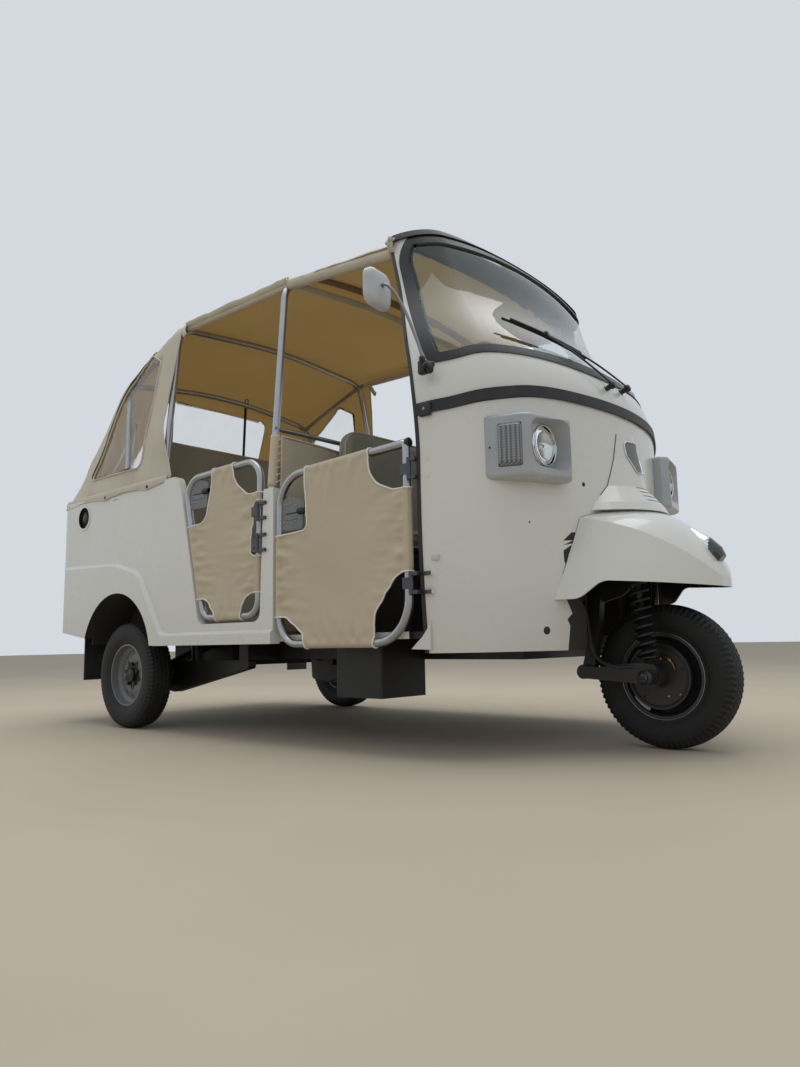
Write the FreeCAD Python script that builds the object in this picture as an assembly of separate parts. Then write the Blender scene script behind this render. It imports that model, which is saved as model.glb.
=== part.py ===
import FreeCAD, Part
import math
import os

# Three-wheeled passenger auto rickshaw: a rounded white front shell over one steered wheel, an open
# driver's place, a steel tub over two rear wheels, four tube doors with canvas and a canvas roof.
# Millimetres. X runs forward from the rear axle, Y to the vehicle's left, Z up from the ground;
# the export at the end moves the origin to the middle of the length.

V = FreeCAD.Vector

# Driving dimensions
WHEELBASE = 2220.0
TYRE_R = 235.0
TYRE_W = 115.0
TYRE_BEAD_R = 138.0
TRACK = 1325.0
BODY_HALF = 735.0
TUB_REAR_X = -675.0
TUB_TOP_Z = 1075.0
TUB_WALL = 26.0
REAR_CORNER_R = 120.0
SILL_Z = 362.0
FLOOR_TOP_Z = 392.0
FLOOR_T = 22.0
FIT = 0.3
TUBE_R = 14.0

# Front shell: plan sections of two straight sides, two corner arcs and a flatter front arc
CAB_BACK_X = 1400.0
CAB_WALL = 14.0
# columns: z, front x at the middle, half width, front radius, corner radius
CAB_SECTIONS = ((325.0, 2088.0, 700.0, 1150.0, 250.0), (510.0, 2099.0, 716.0, 1150.0, 256.0),
                (700.0, 2108.0, 726.0, 1150.0, 260.0), (890.0, 2113.0, 729.0, 1150.0, 260.0),
                (1080.0, 2112.0, 724.0, 1150.0, 260.0), (1230.0, 2090.0, 703.0, 1200.0, 250.0),
                (1400.0, 1960.0, 662.0, 1500.0, 225.0), (1640.0, 1780.0, 603.0, 2300.0, 180.0),
                (1880.0, 1614.0, 548.0, 4000.0, 130.0))
ROOF_TOP_Z = 1856.0
ROOF_R = 3200.0
# rear edge of the front shell, from below the floor to above the roof: x, z
CAB_EDGE = ((1772.0, 200.0), (1780.0, 1110.0), (1483.0, 1950.0))
CAB_EDGE_R = 1100.0
EDGE_SEAL_W = 11.0
# windscreen opening in side view, from the lower rear corner round the front to the upper rear corner: x, z
SCREEN_OUTLINE = ((1797.0, 1238.0), (1872.0, 1245.0), (1985.0, 1306.0), (2180.0, 1228.0), (2180.0, 2000.0),
                  (1760.0, 2000.0), (1571.0, 1737.0), (1654.0, 1506.0))
SCREEN_RADII = (45, 130, 170, 0, 0, 0, 150, 1500)
SCREEN_DROP = 18.0
GASKET_W = 34.0
BELT_H = 37.0
BELT_T = 9.0
# middle line of the belt moulding in side view: x, z
BELT_LINE = ((1700.0, 1080.0), (1880.0, 1097.0), (2035.0, 1157.0), (2160.0, 1150.0))
BROW_T = 12.0
BROW_LIP = 22.0

# Steering axis: it leans back from the ground point ahead of the wheel
STEER_GROUND_X = 2300.0
STEER_RAKE = 28.0
HEAD_TUBE_R = 32.0
STEM_R = 22.0
WELL_HALF = 215.0
WELL_REAR_X = 1880.0
WELL_FRONT_X = 1950.0
WELL_LOW_HALF = 247.0
WELL_HIGH_HALF = 292.0
WELL_TOP_Z = 650.0
WELL_T = 6.0
FORK_Y = -118.0


def box(x0, x1, y0, y1, z0, z1):
    return Part.makeBox(x1 - x0, y1 - y0, z1 - z0, V(x0, y0, z0))


def rod(start, end, radius):
    return Part.makeCylinder(radius, (end - start).Length, start, end - start)


def cone(start, end, r0, r1):
    return Part.makeCone(r0, r1, (end - start).Length, start, end - start)


def fused(shapes):
    return shapes[0].multiFuse(list(shapes[1:])) if len(shapes) > 1 else shapes[0]


def mirrored(shape):
    return shape.mirror(V(0, 0, 0), V(0, 1, 0))


def both_sides(shape):
    return Part.makeCompound([shape, mirrored(shape)])


def corner(before, at, after, radius):
    """The two tangent points and the middle of the arc that rounds the corner at a point."""
    to_b, to_a = (before - at).normalize(), (after - at).normalize()
    half = to_b.getAngle(to_a) / 2
    reach = radius / math.tan(half)
    bisector = (to_b + to_a).normalize()
    middle = at + bisector * (radius / math.sin(half) - radius)
    return at + to_b * reach, middle, at + to_a * reach


def path(points, radii, closed=False):
    """A wire of straight runs and tangent arcs; radii gives one radius for each point."""
    count = len(points)
    if closed:
        corners = [
            corner(points[i - 1], points[i], points[(i + 1) % count], radii[i]) if radii[i] else (points[i],) * 3
            for i in range(count)
        ]
    else:
        corners = [(points[0],) * 3]
        corners += [
            corner(points[i - 1], points[i], points[i + 1], radii[i]) if radii[i] else (points[i],) * 3
            for i in range(1, count - 1)
        ]
        corners.append((points[-1],) * 3)
    edges = []
    for i, (enter, middle, leave) in enumerate(corners):
        if (enter - leave).Length > 1e-6:
            edges.append(Part.Arc(enter, middle, leave).toShape())
        if i + 1 < count or closed:
            following = corners[(i + 1) % count][0]
            if (following - leave).Length > 1e-6:
                edges.append(Part.makeLine(leave, following))
    return Part.Wire(edges)


def tube(points, radius, bend):
    """A round bar or tube along straight runs with equal bends."""
    wire = path(points, [bend] * len(points))
    start = wire.Edges[0].firstVertex().Point
    along = wire.Edges[0].tangentAt(wire.Edges[0].FirstParameter)
    ring = Part.Wire(Part.makeCircle(radius, points[0], points[1] - points[0]))
    if (start - points[0]).Length > 1e-3:
        ring = Part.Wire(Part.makeCircle(radius, start, along))
    return wire.makePipeShell([ring], True, False)


def loop_tube(points, radii, radius):
    """A closed tube frame, swept as two halves that meet."""
    wire = path(points, radii, closed=True)
    edges = list(wire.Edges)
    half = len(edges) // 2
    pieces = []
    for group in (edges[:half], edges[half:]):
        run = Part.Wire(group)
        first = group[0]
        at = first.valueAt(first.FirstParameter)
        along = first.tangentAt(first.FirstParameter)
        ring = Part.Wire(Part.makeCircle(radius, at, along))
        pieces.append(run.makePipeShell([ring], True, False))
    return fused(pieces)


def plate_xz(points, radii, y0, y1):
    wire = path([V(x, y0, z) for x, z in points], radii, closed=True)
    return Part.Face(wire).extrude(V(0, y1 - y0, 0))


def plate_xy(points, radii, z0, z1):
    wire = path([V(x, y, z0) for x, y in points], radii, closed=True)
    return Part.Face(wire).extrude(V(0, 0, z1 - z0))


def plate_yz(points, radii, x0, x1):
    wire = path([V(x0, y, z) for y, z in points], radii, closed=True)
    return Part.Face(wire).extrude(V(x1 - x0, 0, 0))


def turned(profile, centre_y):
    """A ring about the line along Y through the origin, from (radius, y) points."""
    wire = Part.makePolygon([V(r, centre_y + y, 0) for r, y in profile + profile[:1]])
    return Part.Face(wire).revolve(V(0, 0, 0), V(0, 1, 0), 360)


def steer_point(z, y=0.0, ahead=0.0):
    return V(STEER_GROUND_X - z * math.tan(math.radians(STEER_RAKE)) + ahead, y, z)


# Front shell

def cab_section(z, front_x, half, front_r, corner_r, inset):
    """One plan section: the corner arcs run smoothly into the front arc and the sides."""
    front_x, half, front_r, corner_r = front_x - inset, half - inset, front_r - inset, corner_r - inset
    middle_x = front_x - front_r
    reach = front_r - corner_r
    side_y = half - corner_r
    turn = math.asin(side_y / reach)
    corner_x = middle_x + reach * math.cos(turn)

    def front_point(angle):
        return V(middle_x + front_r * math.cos(angle), front_r * math.sin(angle), z)

    def corner_point(angle, side):
        return V(corner_x + corner_r * math.cos(angle), side * (side_y + corner_r * math.sin(angle)), z)

    between = (turn + math.pi / 2) / 2
    edges = [Part.makeLine(V(CAB_BACK_X, -half, z), V(corner_x, -half, z)),
             Part.Arc(V(corner_x, -half, z), corner_point(between, -1), front_point(-turn)).toShape(),
             Part.Arc(front_point(-turn), front_point(0), front_point(turn)).toShape(),
             Part.Arc(front_point(turn), corner_point(between, 1), V(corner_x, half, z)).toShape(),
             Part.makeLine(V(corner_x, half, z), V(CAB_BACK_X, half, z)),
             Part.makeLine(V(CAB_BACK_X, half, z), V(CAB_BACK_X, -half, z))]
    return Part.Wire(edges)


def cab_solid(inset, drop=0.0):
    """The filled outer form of the front shell, moved in by inset; drop carries it below its lowest section."""
    body = Part.makeLoft([cab_section(*columns, inset) for columns in CAB_SECTIONS], True, False)
    if drop:
        foot = Part.Face(cab_section(*CAB_SECTIONS[0], inset))
        body = body.fuse(foot.extrude(V(0, 0, -drop)))
    return body


def under_roof(offset):
    centre_z = ROOF_TOP_Z - ROOF_R
    return Part.makeCylinder(ROOF_R + offset, 900, V(1300, 0, centre_z), V(1, 0, 0))


def behind_edge(shift):
    """Everything behind the shell's rear edge, moved forward by shift."""
    front = [(x + shift, z) for x, z in CAB_EDGE]
    outline = front + [(1250.0, CAB_EDGE[-1][1]), (1250.0, CAB_EDGE[0][1])]
    return plate_xz(outline, [0, CAB_EDGE_R, 0, 0, 0], -900, 900)


def ahead_of_edge(shift):
    """Everything in front of the shell's rear edge, moved forward by shift."""
    back = [(x + shift, z) for x, z in CAB_EDGE]
    outline = back + [(2300.0, CAB_EDGE[-1][1]), (2300.0, CAB_EDGE[0][1])]
    return plate_xz(outline, [0, CAB_EDGE_R, 0, 0, 0], -900, 900)


def screen_prism(grow):
    """The windscreen opening through both sides and the front, grown all round."""
    wire = path([V(x, -900, z) for x, z in SCREEN_OUTLINE], SCREEN_RADII, closed=True)
    if grow:
        wire = Part.Face(wire).makeOffset2D(grow)
    return Part.Face(wire).extrude(V(0, 1800, 0)).common(under_roof(grow - SCREEN_DROP))


def wheel_well_cut(grow=0.0):
    """The room that the fork, spring and wheel turn in."""
    rear = box(WELL_REAR_X - grow, WELL_FRONT_X + 20, -WELL_HALF - grow, WELL_HALF + grow, 200, WELL_TOP_Z + grow)
    low, high, top = WELL_LOW_HALF + grow, WELL_HIGH_HALF + grow, WELL_TOP_Z + grow
    outline = ((-low, 200.0), (low, 200.0), (low, 440.0), (high, 520.0), (high, top), (-high, top), (-high, 520.0), (-low, 440.0))
    front = plate_yz(outline, [0] * 8, WELL_FRONT_X - grow, 2300)
    return rear.fuse(front)


def cab_shell():
    outer = cab_solid(0).common(under_roof(0))
    cavity = cab_solid(CAB_WALL, 60).common(under_roof(-CAB_WALL))
    shell = outer.cut(cavity).cut(behind_edge(0)).cut(screen_prism(0)).cut(wheel_well_cut())
    return fused([shell] + hinge_leaves())


def windscreen_parts():
    ring = screen_prism(0).cut(screen_prism(-GASKET_W))
    gasket = cab_solid(-5).cut(cab_solid(17)).common(ring)
    glass = cab_solid(4).cut(cab_solid(9)).common(screen_prism(-GASKET_W))
    return gasket, glass


def body_hinges(hinge, zs, reach, inner_y, grow=0.0):
    x, y = hinge
    pieces = []
    for z in zs:
        for z0 in (z - KNUCKLE_H - 12.5, z + KNUCKLE_H + 0.5):
            low, high = z0 - grow, z0 + 12 + grow
            knuckle = rod(V(x, y, low), V(x, y, high), HINGE_R + grow)
            pieces.append(knuckle.fuse(box(x, x + reach, y - 3 - grow, inner_y + grow, low, high)))
    return pieces


def hinge_leaves(grow=0.0):
    """The body's half of the driver doors' hinges: leaves that pass behind the shell's edge to its inside."""
    x, y = DRIVER_HINGE
    pieces = body_hinges(DRIVER_HINGE, DRIVER_HINGE_ZS, 26, y + 3, grow)
    for z in DRIVER_HINGE_ZS:
        for z0 in (z - KNUCKLE_H - 12.5, z + KNUCKLE_H + 0.5):
            low, high = z0 - grow, z0 + 12 + grow
            pieces.append(box(x + 14 - grow, x + 26 + grow, y - 3 - grow, y + 36 + grow, low, high))
            pieces.append(box(x + 14 - grow, x + 64, y + 20 - grow, y + 36 + grow, low, high))
    return pieces + [mirrored(p) for p in pieces]


def rubber_trim():
    lower = [(x, z - BELT_H / 2) for x, z in BELT_LINE]
    upper = [(x, z + BELT_H / 2) for x, z in reversed(BELT_LINE)]
    outline = lower + upper
    band = plate_xz(outline, [0, 260, 160, 0, 0, 160, 260, 0], -900, 900)
    belt = cab_solid(-BELT_T).cut(cab_solid(-FIT)).common(band).cut(behind_edge(0))
    seal_band = behind_edge(0).cut(behind_edge(-EDGE_SEAL_W))
    outer = cab_solid(-4).common(under_roof(4))
    inner = cab_solid(CAB_WALL + 4, 60).common(under_roof(-CAB_WALL - 4))
    seal = outer.cut(inner).common(seal_band)
    brow = cab_solid(-BROW_T).common(under_roof(6)).cut(cab_solid(BROW_LIP)).cut(under_roof(FIT - SCREEN_DROP))
    brow = brow.cut(cab_solid(-FIT).common(under_roof(FIT))).cut(behind_edge(0))
    for leaf in hinge_leaves(FIT):
        seal = seal.cut(leaf)
    return Part.makeCompound(belt.Solids + seal.Solids + brow.Solids)


# Lamps on the front shell
LAMP_Z = 965.0
LAMP_Y = -448.0
LAMP_R = 65.0
LAMP_LENS_X = 2060.0
POD_LOW_Z = 853.0
POD_HIGH_Z = 1057.0
POD_OUTLINE = ((1860.0, -560.0), (1925.0, -610.0), (2050.0, -563.0), (2072.0, -539.0),
               (2112.0, -374.0), (2092.0, -344.0), (1960.0, -344.0))
POD_RADII = (0, 12, 20, 20, 14, 10, 0)
MARKER_CENTRE = (2016.0, -576.0)
MARKER_ANGLE = 20.3
MARKER_W = 76.0
MARKER_H = 138.0
MARKER_Z = 956.0
# the scoop round the lens widens to the front; columns: x, y at its outer side, y at its inner side, half height
SCOOP_SECTIONS = ((2058.0, -518.0, -379.0, 69.0), (2130.0, -634.0, -371.0, 92.0))
SCOOP_R = 40.0


def lamp_parts():
    pod = plate_xy(POD_OUTLINE, POD_RADII, POD_LOW_Z, POD_HIGH_Z)
    pod = pod.makeFillet(14, [e for e in pod.Edges if e.BoundBox.ZLength < 1 and e.BoundBox.XMax > 1916])
    wires = []
    for x, outer_y, inner_y, half in SCOOP_SECTIONS:
        low, high = LAMP_Z - half, LAMP_Z + half
        corners = [V(x, outer_y, low), V(x, inner_y, low), V(x, inner_y, high), V(x, outer_y, high)]
        wires.append(path(corners, [SCOOP_R] * 4, closed=True))
    scoop = Part.makeLoft(wires, True, True)
    socket = rod(V(LAMP_LENS_X - 24, LAMP_Y, LAMP_Z), V(LAMP_LENS_X + 16, LAMP_Y, LAMP_Z), LAMP_R + FIT)
    marker = box(-MARKER_W / 2, MARKER_W / 2, -10, 8, MARKER_Z - MARKER_H / 2, MARKER_Z + MARKER_H / 2)
    marker = marker.makeFillet(7, [e for e in marker.Edges if e.BoundBox.YLength > 10])
    marker.rotate(V(0, 0, 0), V(0, 0, 1), MARKER_ANGLE)
    marker.translate(V(MARKER_CENTRE[0], MARKER_CENTRE[1], 0))
    pod = pod.cut(scoop).cut(socket).cut(marker).cut(cab_solid(-FIT))
    lens = rod(V(LAMP_LENS_X - 24 + FIT, LAMP_Y, LAMP_Z), V(LAMP_LENS_X - 4, LAMP_Y, LAMP_Z), LAMP_R)
    dome_r = 190.0
    dome = Part.makeSphere(dome_r, V(LAMP_LENS_X + 8 - dome_r, LAMP_Y, LAMP_Z))
    bulge = rod(V(LAMP_LENS_X - 4, LAMP_Y, LAMP_Z), V(LAMP_LENS_X + 12, LAMP_Y, LAMP_Z), LAMP_R)
    lens = lens.fuse(bulge.common(dome)).cut(cab_solid(-FIT))
    marker_lens = marker.cut(cab_solid(-FIT))
    return both_sides(pod), Part.makeCompound([lens, marker_lens, mirrored(lens), mirrored(marker_lens)])


# Nose cover: columns are z, half width, front x
NOSE_SECTIONS = ((781.0, 242.0, 2240.0), (808.0, 226.0, 2226.0), (872.0, 170.0, 2174.0),
                 (975.0, 128.0, 2150.0), (1068.0, 98.0, 2138.0))
NOSE_BACK_X = 1990.0
SLIT_ZS = (818.0, 834.0, 850.0, 866.0)


def nose_cover():
    wires = []
    for z, half, front_x in NOSE_SECTIONS:
        ellipse = Part.Ellipse(V(NOSE_BACK_X, half, z), V(front_x, 0, z), V(NOSE_BACK_X, 0, z)) \
            if half > front_x - NOSE_BACK_X else \
            Part.Ellipse(V(front_x, 0, z), V(NOSE_BACK_X, half, z), V(NOSE_BACK_X, 0, z))
        start, end = (0, math.pi) if half > front_x - NOSE_BACK_X else (-math.pi / 2, math.pi / 2)
        nose = Part.Arc(ellipse, start, end).toShape()
        tips = sorted((nose.firstVertex().Point, nose.lastVertex().Point), key=lambda p: p.y)
        wires.append(Part.Wire([nose, Part.makeLine(tips[0], tips[1])]))
    cover = Part.makeLoft(wires, True, True).cut(cab_solid(-FIT))
    for z in SLIT_ZS:
        front = NOSE_SECTIONS[2][2] + (NOSE_SECTIONS[2][0] - z) * 0.8
        cover = cover.cut(box(front - 12, front + 60, -52, 52, z, z + 5))
    return cover


# Mudguard: columns are x, half width at the bottom, half width and z at the shoulder, z at the middle
GUARD_SECTIONS = ((1960.0, 428.0, 302.0, 776.0, 806.0), (2110.0, 374.0, 274.0, 744.0, 800.0),
                  (2250.0, 305.0, 233.0, 698.0, 770.0), (2355.0, 212.0, 161.0, 634.0, 690.0),
                  (2415.0, 112.0, 86.0, 576.0, 602.0), (2434.0, 40.0, 32.0, 546.0, 554.0))
GUARD_T = 5.0
GUARD_HEM = ((1900.0, 484.0), (2105.0, 484.0), (2165.0, 540.0), (2300.0, 530.0), (2600.0, 503.0))


def guard_loft(inset, low_z):
    wires = []
    for x, low_half, half, z, top in GUARD_SECTIONS:
        a, b = V(x, -(low_half - inset), low_z), V(x, -(half - inset), z - inset)
        c, d = V(x, half - inset, z - inset), V(x, low_half - inset, low_z)
        crown = Part.Arc(b, V(x, 0, top - inset), c).toShape()
        wires.append(Part.Wire([Part.makeLine(a, b), crown, Part.makeLine(c, d), Part.makeLine(d, a)]))
    return Part.makeLoft(wires, True, False)


def front_mudguard():
    outer = guard_loft(0, 440)
    inner = guard_loft(GUARD_T, 430).cut(box(GUARD_SECTIONS[-1][0] - GUARD_T, 2600, -400, 400, 300, 900))
    below = GUARD_HEM + ((2600.0, 300.0), (1900.0, 300.0))
    hem = plate_xz(below, [0, 50, 50, 300, 0, 0, 0], -500, 500)
    return outer.cut(inner).cut(hem).cut(cab_solid(-FIT, 60)).cut(nose_cover_seat())


def nose_cover_seat():
    """Clears the mudguard from under the nose cover's foot."""
    return box(1900, 2300, -260, 260, NOSE_SECTIONS[0][0] - FIT, 900)


def mudguard_lamp():
    """A bright streamlined position lamp that sits on the mudguard's ridge."""
    tail, tip = V(2266, 0, 748), V(2424, 0, 606)
    along = (tip - tail).normalize()
    length = (tip - tail).Length
    columns = ((0.0, 2.0), (0.3, 20.0), (0.65, 33.0), (0.88, 30.0), (1.0, 18.0))
    points = [V(0, 0, 0)] + [V(r, 0, s * length) for s, r in columns] + [V(0, 0, length)]
    shape = Part.Face(Part.makePolygon(points + points[:1])).revolve(V(0, 0, 0), V(0, 0, 1), 360)
    shape.Placement = FreeCAD.Placement(tail, FreeCAD.Rotation(V(0, 0, 1), along))
    return shape.cut(guard_loft(-FIT, 440))


# Wiper, with two parallel arms on two spindles
WIPER_SPINDLES = ((2084.0, 60.0, 1226.0), (2082.0, -60.0, 1226.0))
WIPER_BLADE = ((2018.0, -70.0, 1362.0), (1905.0, -430.0, 1440.0))


def wiper(gasket):
    blade = rod(V(*WIPER_BLADE[0]), V(*WIPER_BLADE[1]), 7)
    middle = V(*WIPER_BLADE[0]) * 0.5 + V(*WIPER_BLADE[1]) * 0.5
    pieces = [blade]
    for i, spindle in enumerate(WIPER_SPINDLES):
        foot = V(*spindle)
        head = foot + V(30, 0, 10)
        end = middle + (V(*WIPER_BLADE[0]) - middle) * (0.3 - 0.4 * i)
        pieces.append(rod(foot, head, 11))
        pieces.append(rod(head - V(6, 0, 2), end, 6))
    return fused(pieces).cut(cab_solid(-FIT)).cut(gasket)


# Mirrors
MIRROR_FOOT = V(1812.0, -726.0, 1205.0)
MIRROR_HEAD = V(1728.0, -850.0, 1460.0)


def mirrors():
    head = box(-18, 18, -64, 64, -62, 62)
    head = head.makeFillet(16, head.Edges)
    head.rotate(V(0, 0, 0), V(0, 0, 1), 8)
    head.translate(MIRROR_HEAD)
    route = [MIRROR_FOOT, MIRROR_FOOT + V(0, -22, 60), V(1790, -790, 1385), V(1762, -832, 1448), MIRROR_HEAD + V(10, 8, 0)]
    stem = tube(route, 6, 22)
    clamp = rod(MIRROR_FOOT + V(0, 30, -22), MIRROR_FOOT + V(0, -14, 22), 22)
    mirror = fused([head, stem, clamp.cut(cab_solid(-FIT))])
    return both_sides(mirror)


# Tub
ARCH_X = -32.0
ARCH_Z = 302.0
ARCH_R = 300.0
FLARE = 18.0
BAND = 6.0
VENT_X = -392.0
VENT_Z = 992.0
VENT_R = 62.0
SIDE_REAR_X = TUB_REAR_X + REAR_CORNER_R
POST_FRONT_X = 1078.0
POST_TOP_Z = 935.0
SIDE_OUTLINE = ((SIDE_REAR_X, 436.0), (-300.0, 400.0), (300.0, SILL_Z), (POST_FRONT_X, SILL_Z), (POST_FRONT_X, POST_TOP_Z),
                (1022.0, POST_TOP_Z), (1002.0, 444.0), (608.0, 444.0), (470.0, 1000.0), (440.0, TUB_TOP_Z),
                (SIDE_REAR_X, TUB_TOP_Z + 5.0))
SIDE_RADII = (0, 0, 0, 0, 0, 0, 40, 40, 30, 45, 0)
FLARE_OUTLINE = ((SIDE_REAR_X, 436.0), (-300.0, 400.0), (300.0, SILL_Z), (POST_FRONT_X, SILL_Z), (POST_FRONT_X, 416.0),
                 (345.0, 416.0), (150.0, 690.0), (-60.0, 742.0), (SIDE_REAR_X, 760.0))
FLARE_RADII = (0, 0, 0, 0, 0, 30, 120, 200, 0)


def side_panel():
    skin = plate_xz(SIDE_OUTLINE, SIDE_RADII, -BODY_HALF, -BODY_HALF + TUB_WALL)
    flare = plate_xz(FLARE_OUTLINE, FLARE_RADII, -BODY_HALF - FLARE, -BODY_HALF)
    edges = [e for e in flare.Edges if abs(e.BoundBox.YMax + BODY_HALF + FLARE) < 0.01 and e.BoundBox.ZMax > 415
             and e.BoundBox.ZMin > 410]
    flare = flare.makeChamfer(FLARE - 4, edges)
    frame = plate_xz(((392.0, SILL_Z), (POST_FRONT_X, SILL_Z), (POST_FRONT_X, POST_TOP_Z), (1022.0, POST_TOP_Z),
                      (1002.0, 444.0), (608.0, 444.0), (470.0, 1000.0), (440.0, TUB_TOP_Z), (330.0, TUB_TOP_Z)), (20, 0, 0, 0, 40, 40, 30, 45, 20),
                     -BODY_HALF - BAND, -BODY_HALF)
    panel = fused([skin, flare, frame] + body_hinges(REAR_HINGE, REAR_HINGE_ZS, 44, -BODY_HALF - 2))
    panel = panel.cut(rod(V(ARCH_X, -900, ARCH_Z), V(ARCH_X, -600, ARCH_Z), ARCH_R))
    return panel.cut(rod(V(VENT_X, -900, VENT_Z), V(VENT_X, -600, VENT_Z), VENT_R)).fuse(vent())


def vent():
    """A round air inlet with a dished grille behind its lip."""
    face_y = -BODY_HALF - 4
    ring = rod(V(VENT_X, face_y, VENT_Z), V(VENT_X, face_y + 22, VENT_Z), VENT_R)
    return ring.cut(rod(V(VENT_X, face_y - 1, VENT_Z), V(VENT_X, face_y + 16, VENT_Z), VENT_R - 10))


LID_HALF = 430.0
LID_LOW_Z = 520.0
LID_HIGH_Z = 960.0
LID_T = 20.0
LID_GAP = 5.0


# Two screw holes for a number plate below the lid
PLATE_Z = 478.0
PLATE_SPACING = 160.0
PLATE_HOLE_R = 3.3


def tub_plan(inset):
    x0, half = TUB_REAR_X + inset, BODY_HALF - inset
    points = [V(x0, -half, 0), V(SIDE_REAR_X, -half, 0), V(SIDE_REAR_X, half, 0), V(x0, half, 0)]
    return path(points, [REAR_CORNER_R - inset, 0, 0, REAR_CORNER_R - inset], closed=True)


def rear_panel():
    height = TUB_TOP_Z + 5 - 436
    outer = Part.Face(tub_plan(0)).extrude(V(0, 0, height))
    inner = Part.Face(tub_plan(TUB_WALL)).extrude(V(0, 0, height))
    wall = outer.cut(inner)
    wall.translate(V(0, 0, 436))
    wall = wall.cut(box(SIDE_REAR_X, SIDE_REAR_X + 50, -900, 900, 0, 2000))
    opening = plate_yz(((-LID_HALF, LID_LOW_Z), (LID_HALF, LID_LOW_Z), (LID_HALF, LID_HIGH_Z), (-LID_HALF, LID_HIGH_Z)),
                       [60] * 4, TUB_REAR_X - 60, TUB_REAR_X + 60)
    wall = wall.cut(opening)
    for y in (-PLATE_SPACING / 2, PLATE_SPACING / 2):
        wall = wall.cut(rod(V(TUB_REAR_X - 10, y, PLATE_Z), V(TUB_REAR_X + 40, y, PLATE_Z), PLATE_HOLE_R))
    return wall


def rear_lid():
    half, low, high = LID_HALF - LID_GAP, LID_LOW_Z + LID_GAP, LID_HIGH_Z - LID_GAP
    lid = plate_yz(((-half, low), (half, low), (half, high), (-half, high)), [55] * 4, TUB_REAR_X, TUB_REAR_X + LID_T)
    rib = plate_yz(((-half + 70, low + 70), (half - 70, low + 70), (half - 110, high - 90), (-half + 110, high - 90)),
                   [50] * 4, TUB_REAR_X - 6, TUB_REAR_X)
    handle = tube([V(TUB_REAR_X, -60, low + 40), V(TUB_REAR_X - 14, -60, low + 40), V(TUB_REAR_X - 14, 60, low + 40),
                   V(TUB_REAR_X, 60, low + 40)], 6, 7)
    hinges = [rod(V(TUB_REAR_X - 9, y - 35, LID_HIGH_Z), V(TUB_REAR_X - 9, y + 35, LID_HIGH_Z), 8) for y in (-280, 280)]
    leaves = [box(TUB_REAR_X - 9, TUB_REAR_X, y - 35, y + 35, LID_HIGH_Z - 30, LID_HIGH_Z) for y in (-280, 280)]
    return fused([lid, rib, handle] + hinges + leaves)


def wheel_liners():
    outer_y, inner_y = -BODY_HALF + TUB_WALL + FIT, -540.0
    outer = rod(V(ARCH_X, outer_y, ARCH_Z), V(ARCH_X, inner_y, ARCH_Z), ARCH_R + 4)
    hollow = rod(V(ARCH_X, outer_y - 5, ARCH_Z), V(ARCH_X, inner_y - 4, ARCH_Z), ARCH_R)
    liner = outer.cut(hollow).cut(box(-500, 500, -900, -400, -100, 372))
    shaft_gap = box(-120, 120, -600, -500, 200, 440)
    return both_sides(liner.cut(shaft_gap))


# Floor, seat boxes and rear deck, one welded sheet structure
SEAT_BOX_X = 430.0
STEP_HALF = BODY_HALF - 33.0
DECK_Z = 700.0
DRIVER_BOX = (1105.0, 1470.0, 430.0, 680.0)


def floor_pan():
    inner_half = BODY_HALF - TUB_WALL - FIT
    slab = box(SEAT_BOX_X, POST_FRONT_X, -inner_half, inner_half, FLOOR_TOP_Z - FLOOR_T, FLOOR_TOP_Z)
    slab = slab.fuse(box(POST_FRONT_X, 1700, -STEP_HALF, STEP_HALF, FLOOR_TOP_Z - FLOOR_T, FLOOR_TOP_Z))
    inside = cab_solid(CAB_WALL + 5, 60)
    front = inside.common(box(1699, 2300, -900, 900, FLOOR_TOP_Z - FLOOR_T, FLOOR_TOP_Z))
    slab = slab.fuse(front).cut(wheel_well_cut())
    well = wheel_well_cut(WELL_T).common(box(1700, 2300, -900, 900, FLOOR_TOP_Z - FLOOR_T, 1000)).common(inside)
    well = well.cut(wheel_well_cut())
    riser = box(SEAT_BOX_X - FLOOR_T, SEAT_BOX_X, -inner_half, inner_half, FLOOR_TOP_Z - FLOOR_T, DECK_Z)
    deck = box(TUB_REAR_X + TUB_WALL + FIT + 130, SEAT_BOX_X, -inner_half, inner_half, DECK_Z - FLOOR_T, DECK_Z)
    x0, x1, half, high = DRIVER_BOX
    seat_box = box(x0, x1, -half, half, FLOOR_TOP_Z - 1, high).cut(box(x0 + 8, x1 - 8, -half + 8, half - 8, 0, high - 8))
    stem_hole = rod(steer_point(560), steer_point(760), HEAD_TUBE_R + FIT)
    pan = fused([slab, well, riser, deck, seat_box]).cut(stem_hole)
    arch = rod(V(ARCH_X, -900, ARCH_Z), V(ARCH_X, 900, ARCH_Z), ARCH_R + 4 + FIT)
    beam_x = WELL_REAR_X - WELL_T - FIT
    beam = box(beam_x - BEAM_L - FIT, beam_x, -BEAM_HALF - FIT, BEAM_HALF + FIT, 200, 800)
    return pan.cut(arch).cut(beam)


# Rear trailing arms: pivot and outer face
ARM_PIVOT_X = 560.0
ARM_OUTER_Y = 500.0

# Holes across both rails for lashing the vehicle down
LASHING_X = 1650.0
LASHING_Z = 333.0
LASHING_R = 10.0


RAIL_Y = 300.0
RAIL_HALF = 28.0
RAIL_LOW_Z = 296.0
RAIL_TOP_Z = FLOOR_TOP_Z - FLOOR_T - FIT
RAIL_REAR_X = 380.0
BEAM_L = 60.0
BEAM_HALF = 40.0
BEAM_TOP_Z = 760.0
RISER_X = SEAT_BOX_X - FLOOR_T - FIT
DECK_UNDER_Z = DECK_Z - FLOOR_T - FIT


def rail(side, x0, x1, z0, z1):
    return box(x0, x1, side * RAIL_Y - RAIL_HALF, side * RAIL_Y + RAIL_HALF, z0, z1)


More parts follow.
